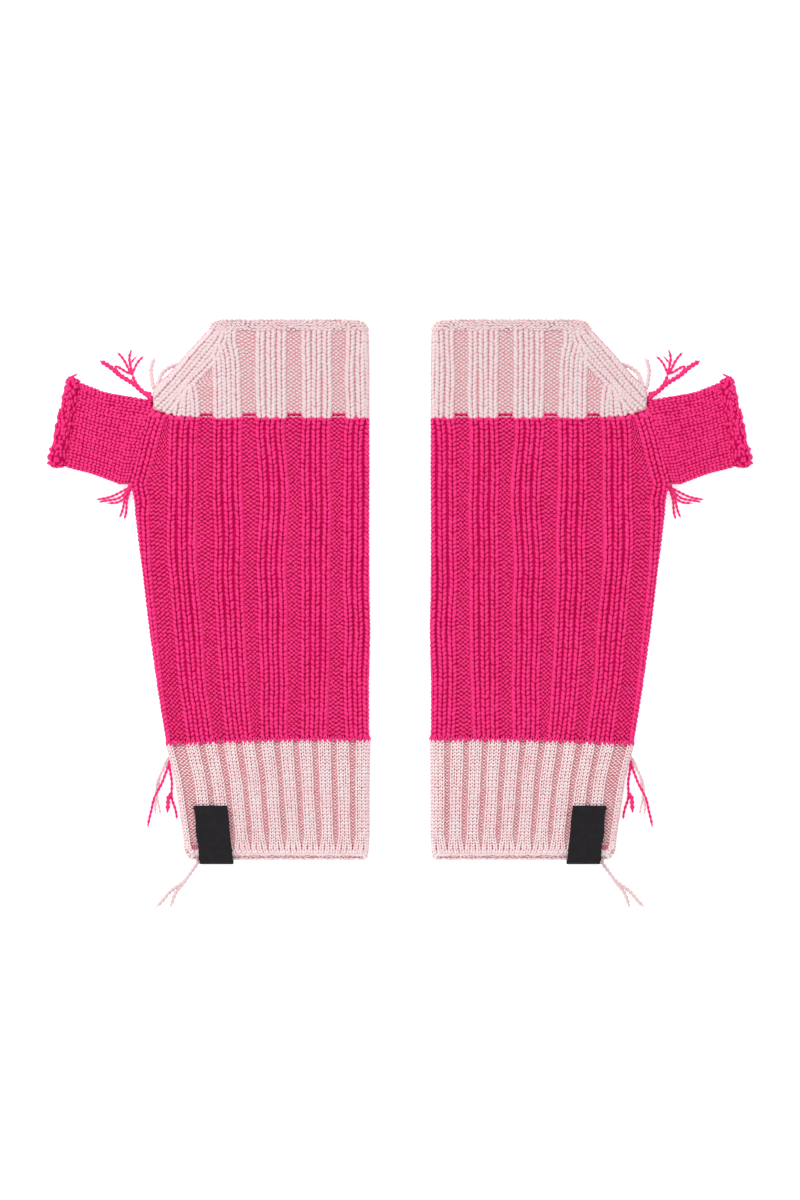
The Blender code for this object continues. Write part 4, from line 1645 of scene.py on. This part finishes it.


# the hem's inside takes the yarn copy with painted light
HEM_YARN = Yarn(SMALL_PURL_GRAIN, LIT_FINE_YARN, 1.5, 0.9, 0.55, 0.12)
# grains in the cuff ground's colour, painted shade in the gaps of the hem's inside
HEM_GAP_YARN = Yarn(PURL_GRAIN, CUFF_GROUND, 0.8, 0.6, 0.5, 0.3)
HEM_INSIDE_PIECE = knit(
    "hem_inside",
    [
        (hem_inside(-0.95, 84, 0.12, -3.8), HEM_YARN),
        (hem_inside(0.1, 84, 0.12, -4.0), HEM_YARN),
        (hem_inside(-0.4, 74, 0.4, -4.1), HEM_GAP_YARN),
    ],
    870,
)
JOIN_YARN = Yarn(FULL_GRAIN, HOT_YARN, 1.1, 0.85, 0.85, 0.1)
JOIN_PIECE = knit("join_row", [(join_row(), JOIN_YARN)], 880)

# %% [markdown]
# ## The label
# A black woven strip is folded over the hem and sewn to the cuff. It is all one plain weave, which two
# crossed waves on its UV map draw, and it lies in a soft bend over the ribs under it.

# %% The label's cloth
LABEL_HALF_WIDTH = 7.1
LABEL_THICK = 0.5
LABEL_TOP = (66.9, 22.9)  # its middle at the sewn edge, as (u, v)
LABEL_LEAN = 0.1
LABEL_FOLD_V = -1.6
LABEL_INNER_V = 7.5
LABEL_FRONT_Z, LABEL_MOUTH_Z = 6.25, 2.7
LABEL_CROWN_WIDTH = 78.0  # the cuff's width under it, for the front layer's rise
LABEL_STEPS, FOLD_STEPS = 22, 8


def threads(tree, place, scale, direction):
    inputs = {"Vector": place.outputs["UV"], "Scale": scale, "Distortion": 0.4}
    return add_node(tree, "ShaderNodeTexWave", inputs, bands_direction=direction).outputs["Fac"]


def label_material():
    material, tree, shader = new_material("black_woven_label", 0.7, 0.04)
    place = add_node(tree, "ShaderNodeTexCoord")
    weave = calculate(tree, "MULTIPLY", threads(tree, place, 22.0, "Y"), threads(tree, place, 14.0, "X"))
    amount = calculate(tree, "MULTIPLY", weave, noise(tree, place, 500.0, 3.0))
    paint(tree, shader, amount, srgb(24, 22, 24), srgb(66, 62, 66))
    relief = bumps_from(tree, weave, 0.0001, 0.5)
    tree.links.new(relief.outputs["Normal"], shader.inputs["Normal"])
    return material


LABEL_BLACK = label_material()
print("label material:", LABEL_BLACK.name)


# %% The label's path and mesh
def label_path():
    """The label's middle line as (v, z), from its sewn edge over the hem into the cuff's mouth."""
    bend = (LABEL_FRONT_Z - LABEL_MOUTH_Z) / 2
    v = list(np.linspace(LABEL_TOP[1], LABEL_FOLD_V + bend, LABEL_STEPS))
    z = [LABEL_FRONT_Z] * LABEL_STEPS
    for step in range(1, FOLD_STEPS + 1):
        turn = math.pi * step / FOLD_STEPS
        v.append(LABEL_FOLD_V + bend * (1 - math.sin(turn)))
        z.append(LABEL_FRONT_Z - bend * (1 - math.cos(turn)))
    v += [0.0, 2.5, 5.0, LABEL_INNER_V]
    z += [LABEL_MOUTH_Z] * 4
    return np.array(v), np.array(z)


def label_surface(v, z, across):
    """Points over the strip, with a soft wave from the ribs under it and a fold above its sewn edge."""
    run, place = np.meshgrid(np.arange(len(v)), across, indexing="ij")
    lift = (z[run] - LABEL_MOUTH_Z) / (LABEL_FRONT_Z - LABEL_MOUTH_Z)
    rough = 0.12 * np.sin(v[run] * 5.3) + 0.1 * np.sin(v[run] * 8.9 + 2.0)
    edge = np.clip(np.abs(place) - LABEL_HALF_WIDTH + 1.0, 0, 1) * np.where(place > 0, 1.6, 0.7)
    u = LABEL_TOP[0] + (v[run] - LABEL_TOP[1]) * LABEL_LEAN + place + rough * edge
    share = u / LABEL_CROWN_WIDTH
    crown = CROWN * 4 * share * (1 - share)
    rib = 0.1 * np.cos(2 * math.pi * place / 7.3 + 0.6)
    ridge = 0.28 * np.exp(-(((v[run] - 20.6) / 0.7) ** 2))
    sag = -0.25 * np.exp(-(((v[run] - 21.9) / 0.8) ** 2))
    return np.stack([u, v[run], z[run] + lift * (crown + rib + ridge + sag)], axis=-1)


def label_mesh(name, side):
    v, z = label_path()
    across = np.linspace(-LABEL_HALF_WIDTH, LABEL_HALF_WIDTH, 25)
    middle = label_surface(v, z, across)
    way = np.gradient(middle, axis=0)
    out = np.cross(np.gradient(middle, axis=1), way)
    out /= np.linalg.norm(out, axis=-1)[..., None]
    edge = 1 - 0.5 * (np.abs(across) > LABEL_HALF_WIDTH - 0.1)
    front = middle + out * LABEL_THICK / 2 * edge[None, :, None]
    back = middle - out * LABEL_THICK / 2 * edge[None, :, None]
    rows, columns = middle.shape[:2]
    points = np.concatenate([front.reshape(-1, 3), back.reshape(-1, 3)])
    faces = []
    shift = rows * columns
    for i in range(rows - 1):
        for j in range(columns - 1):
            a, b = i * columns + j, i * columns + j + 1
            c, d = (i + 1) * columns + j + 1, (i + 1) * columns + j
            faces += [(a, b, c, d), (shift + d, shift + c, shift + b, shift + a)]
    border = list(range(columns))
    border += [i * columns + columns - 1 for i in range(1, rows)]
    border += [(rows - 1) * columns + j for j in range(columns - 2, -1, -1)]
    border += [i * columns for i in range(rows - 2, 0, -1)]
    for a, b in zip(border, border[1:] + border[:1]):
        faces.append((b, a, shift + a, shift + b))
    uv = [(j / columns, i / columns) for i in range(rows) for j in range(columns)] * 2
    return solid_mesh(name, to_table(points, side), faces, uv)


LABEL = make_pair("label_cloth", "black_label", LABEL_BLACK, label_mesh)

# %% [markdown]
# ## Loose yarn ends
# The maker leaves the yarn ends hanging at the seams. Each is a piece of two-ply yarn: it starts in its
# seam, drops to the table within a centimetre and lies there in soft bends. Its section is two lobes that
# turn as they go along, which is what twisted yarn looks like. Short thick pieces over the thumb's upper
# corner and at its root are the knots that tie its seam off.

# %% The yarn ends' routes
Strand = namedtuple("Strand", "radius start_z points")
STRANDS = {
    "tails_thumb_top": (
        Strand(0.9, 3.2, ((91.6, 193.4), (94.0, 196.0), (98.7, 199.3), (106.5, 205.0), (113.8, 210.2))),
        Strand(1.2, 4.4, ((91.7, 186.4), (91.3, 189.4), (91.4, 192.2), (92.8, 195.0), (94.8, 197.0))),
        Strand(0.62, 3.0, ((92.4, 193.6), (95.6, 197.2), (99.6, 201.2), (100.2, 204.4))),
        Strand(0.5, 1.0, ((100.2, 204.4), (101.6, 206.6), (103.4, 209.6), (106.6, 213.8))),
        Strand(0.5, 1.0, ((100.2, 204.4), (101.2, 208.0), (101.4, 211.0), (100.4, 214.8))),
        Strand(0.46, 1.0, ((100.2, 204.4), (98.8, 207.6), (97.0, 210.2), (95.2, 212.2))),
        Strand(
            0.5,
            1.0,
            ((100.2, 204.4), (103.0, 205.4), (106.2, 207.2), (107.2, 207.8), (107.0, 206.2))
            + ((105.8, 204.8),),
        ),
        Strand(0.36, 0.9, ((101.2, 208.6), (99.4, 210.6), (98.0, 211.8))),
    ),
    "tails_thumb_top_pale": (
        Strand(0.8, 3.0, ((90.8, 198.0), (92.0, 201.6), (92.4, 205.6), (91.6, 208.6), (90.6, 211.4))),
        Strand(0.8, 3.6, ((89.6, 198.6), (89.0, 200.9), (88.2, 204.2), (85.4, 206.6), (80.6, 209.2))),
    ),
    "tails_thumb_root": (
        Strand(1.3, 3.8, ((98.6, 160.4), (100.0, 158.2), (100.9, 156.2), (101.4, 154.6))),
        Strand(0.48, 3.0, ((101.4, 156.6), (104.6, 154.4), (109.6, 152.8), (115.4, 151.2))),
        Strand(0.48, 3.0, ((101.3, 156.2), (104.2, 153.2), (108.4, 151.2), (114.4, 150.4))),
        Strand(0.46, 3.0, ((101.2, 156.0), (103.4, 152.2), (106.6, 150.2), (110.8, 149.7))),
        Strand(0.48, 2.8, ((101.2, 155.8), (103.2, 151.4), (104.4, 147.6), (105.6, 143.6))),
        Strand(0.48, 2.8, ((101.0, 155.6), (102.2, 151.4), (102.6, 147.4), (103.8, 143.0))),
    ),
    "thumb_edge_end": (
        Strand(0.55, 4.2, ((127.2, 201.6), (125.2, 202.8), (122.9, 204.3))),
    ),
    "tails_cuff": (
        Strand(
            0.45,
            2.6,
            ((84.4, 43.6), (87.0, 39.4), (89.2, 34.4), (90.4, 28.0), (90.6, 23.6))
            + ((90.0, 18.6),),
        ),
        Strand(
            0.42,
            2.4,
            ((84.2, 43.0), (86.4, 39.0), (88.6, 34.8), (90.0, 28.4), (88.8, 22.8))
            + ((88.6, 18.2),),
        ),
    ),
    "tails_cuff_hot": (
        Strand(
            0.5,
            2.6,
            ((84.6, 42.4), (85.0, 38.6), (86.2, 35.4), (89.2, 29.6), (92.6, 21.0))
            + ((93.4, 13.4),),
        ),
        Strand(
            0.5,
            2.4,
            ((84.4, 41.8), (84.0, 38.0), (83.8, 34.0), (83.6, 26.8), (82.4, 21.6))
            + ((81.3, 16.6),),
        ),
        Strand(0.8, 1.6, ((83.9, 27.6), (85.2, 25.8), (85.4, 23.0), (85.2, 19.6))),
    ),
    "tail_hem": (
        Strand(
            0.72,
            2.2,
            ((71.8, 0.8), (73.2, -2.6), (76.0, -6.6), (80.6, -11.0), (85.4, -14.6))
            + ((90.2, -20.2),),
        ),
        Strand(
            0.68,
            2.0,
            ((71.6, 0.6), (73.6, -3.4), (76.8, -7.4), (80.4, -12.0), (82.6, -16.0))
            + ((84.4, -20.2),),
        ),
    ),
}
STRAND_STEP = 0.6
STRAND_SIDES = 8
PLY_TURN = 4.0  # millimetres for one turn of the plies
PLY_LOBE = 0.36  # how far a ply stands out, as a share of the radius
STRAND_SHADE = 0.6
FALL = 9.0  # over this length an end drops from its seam to the table
print("yarn ends on one mitten:", sum(len(strands) for strands in STRANDS.values()))


# %% Twisted yarn along a route
def strand_line(strand):
    """Points along the strand: smooth in plan, falling to the table, with small bends of its own."""
    flat = smooth_path(strand.points, STRAND_STEP)
    count = len(flat)
    run = np.arange(count) * STRAND_STEP
    turns = RANDOM.uniform(0, 2 * math.pi, 2)
    sway = 0.22 * np.sin(run / 1.9 + turns[0]) * np.clip(run / 4, 0, 1)
    flat = flat + path_frame(flat)[1] * sway[:, None]
    rest = strand.radius + 0.1
    fall = 0.5 + 0.5 * np.cos(np.clip(run / FALL, 0, 1) * math.pi)
    z = rest + (max(strand.start_z, rest) - rest) * fall + 0.15 * (1 + np.sin(run / 3.1 + turns[1]))
    return np.column_stack([flat, z]), run


def strand_rings(strand):
    line, run = strand_line(strand)
    way = np.gradient(line, axis=0)
    way /= np.linalg.norm(way, axis=1)[:, None]
    square = np.cross(way, (0.0, 0.0, 1.0))
    square /= np.linalg.norm(square, axis=1)[:, None]
    up = np.cross(square, way)
    thin = np.clip((run[-1] - run) / 1.5, 0.25, 1.0)
    rings = []
    for j in range(STRAND_SIDES):
        turn = 2 * math.pi * j / STRAND_SIDES
        lobes = 1 + PLY_LOBE * np.cos(2 * (turn - 2 * math.pi * run / PLY_TURN))
        radius = (strand.radius * thin * lobes)[:, None]
        rings.append(line + radius * (square * math.cos(turn) + up * math.sin(turn)))
    return np.stack(rings, axis=1), run


def strand_faces(count, shift):
    faces = []
    for i in range(count - 1):
        for j in range(STRAND_SIDES):
            k = (j + 1) % STRAND_SIDES
            low, high = shift + i * STRAND_SIDES, shift + (i + 1) * STRAND_SIDES
            faces.append((low + j, low + k, high + k, high + j))
    faces.append(tuple(shift + j for j in reversed(range(STRAND_SIDES))))
    faces.append(tuple(shift + (count - 1) * STRAND_SIDES + j for j in range(STRAND_SIDES)))
    return faces


def tuft_mesh(name, rings_and_runs, side):
    """The strands of a tuft in one mesh."""
    points, faces, uv, shift = [], [], [], 0
    for rings, run in rings_and_runs:
        points.append(rings.reshape(-1, 3))
        faces += strand_faces(len(rings), shift)
        uv += [(length / PLY_TURN, j / STRAND_SIDES) for length in run for j in range(STRAND_SIDES)]
        shift += rings.shape[0] * rings.shape[1]
    return solid_mesh(name, to_table(np.concatenate(points), side), faces, uv, STRAND_SHADE)


# %% The tufts
TUFT_YARNS = {
    "tails_thumb_top": ("hot_pink_knit", HOT_YARN),
    "tails_thumb_top_pale": ("pale_pink_knit", PALE_YARN),
    "tails_thumb_root": ("hot_pink_knit", HOT_YARN),
    "thumb_edge_end": ("hot_pink_knit", HOT_YARN),
    "tails_cuff": ("pale_pink_knit", PALE_YARN),
    "tails_cuff_hot": ("hot_pink_knit", HOT_YARN),
    "tail_hem": ("pale_pink_knit", PALE_YARN),
}
TUFTS = {}
for tuft, (slot, yarn) in TUFT_YARNS.items():
    shapes = [strand_rings(strand) for strand in STRANDS[tuft]]
    TUFTS[tuft] = make_pair(tuft + "_yarn", slot, yarn, tuft_mesh, shapes)

# %% [markdown]
# ## Putting each piece on the pair's body
# Every cloth, with the stitches and edges that lie on it, rides on the one body that the pair has, and the
# CAD node that it stands for is hidden.

# %% Clear the grains away
for grain in GRAINS:
    bpy.data.objects.remove(grain)
print("grains removed")

TUFTS_WITHOUT_NODE = ("tails_cuff_hot", "thumb_edge_end")


def declare(hand):
    tufts = {tuft: TUFTS[tuft][hand] for tuft in TUFT_YARNS}
    cuff_with = [CUFF_RIBS_PIECE[hand], CUFF_CHANNELS_PIECE[hand], HEM_ROLL[hand], tufts["tail_hem"]]
    cuff_with += [HEM_INSIDE_PIECE[hand], tufts["tails_cuff"], tufts["tails_cuff_hot"]]
    palm_with = [PALM_RIBS_PIECE[hand], PALM_CHANNELS_PIECE[hand], JOIN_PIECE[hand]]
    palm_with += [tufts["tails_thumb_root"]]
    band_with = [BAND_RIBS_PIECE[hand], BAND_CHANNELS_PIECE[hand], BOUND_PIECE[hand], FINGER_ROLL[hand]]
    band_with += [tufts["tails_thumb_top"], tufts["tails_thumb_top_pale"]]
    thumb_with = [THUMB_PIECE[hand], THUMB_ROLL[hand], CURL_PIECE[hand], tufts["thumb_edge_end"]]
    rows = (
        (CUFF_CLOTH[hand], "cuff", cuff_with),
        (PALM_CLOTH[hand], "palm", palm_with),
        (BAND_CLOTH[hand], "hand_band", band_with),
        (THUMB_CLOTH[hand], "thumb", thumb_with),
        (LABEL[hand], "label", []),
    )
    for cloth, node, others in rows:
        for piece in [cloth] + others:
            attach(piece, "root")
        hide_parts(hand + "_" + node)
    for tuft in TUFT_YARNS:
        if tuft not in TUFTS_WITHOUT_NODE:
            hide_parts(hand + "_" + tuft)


for hand in SIDES:
    declare(hand)
print("triangles in all:", sum(TRIANGLES.values()))
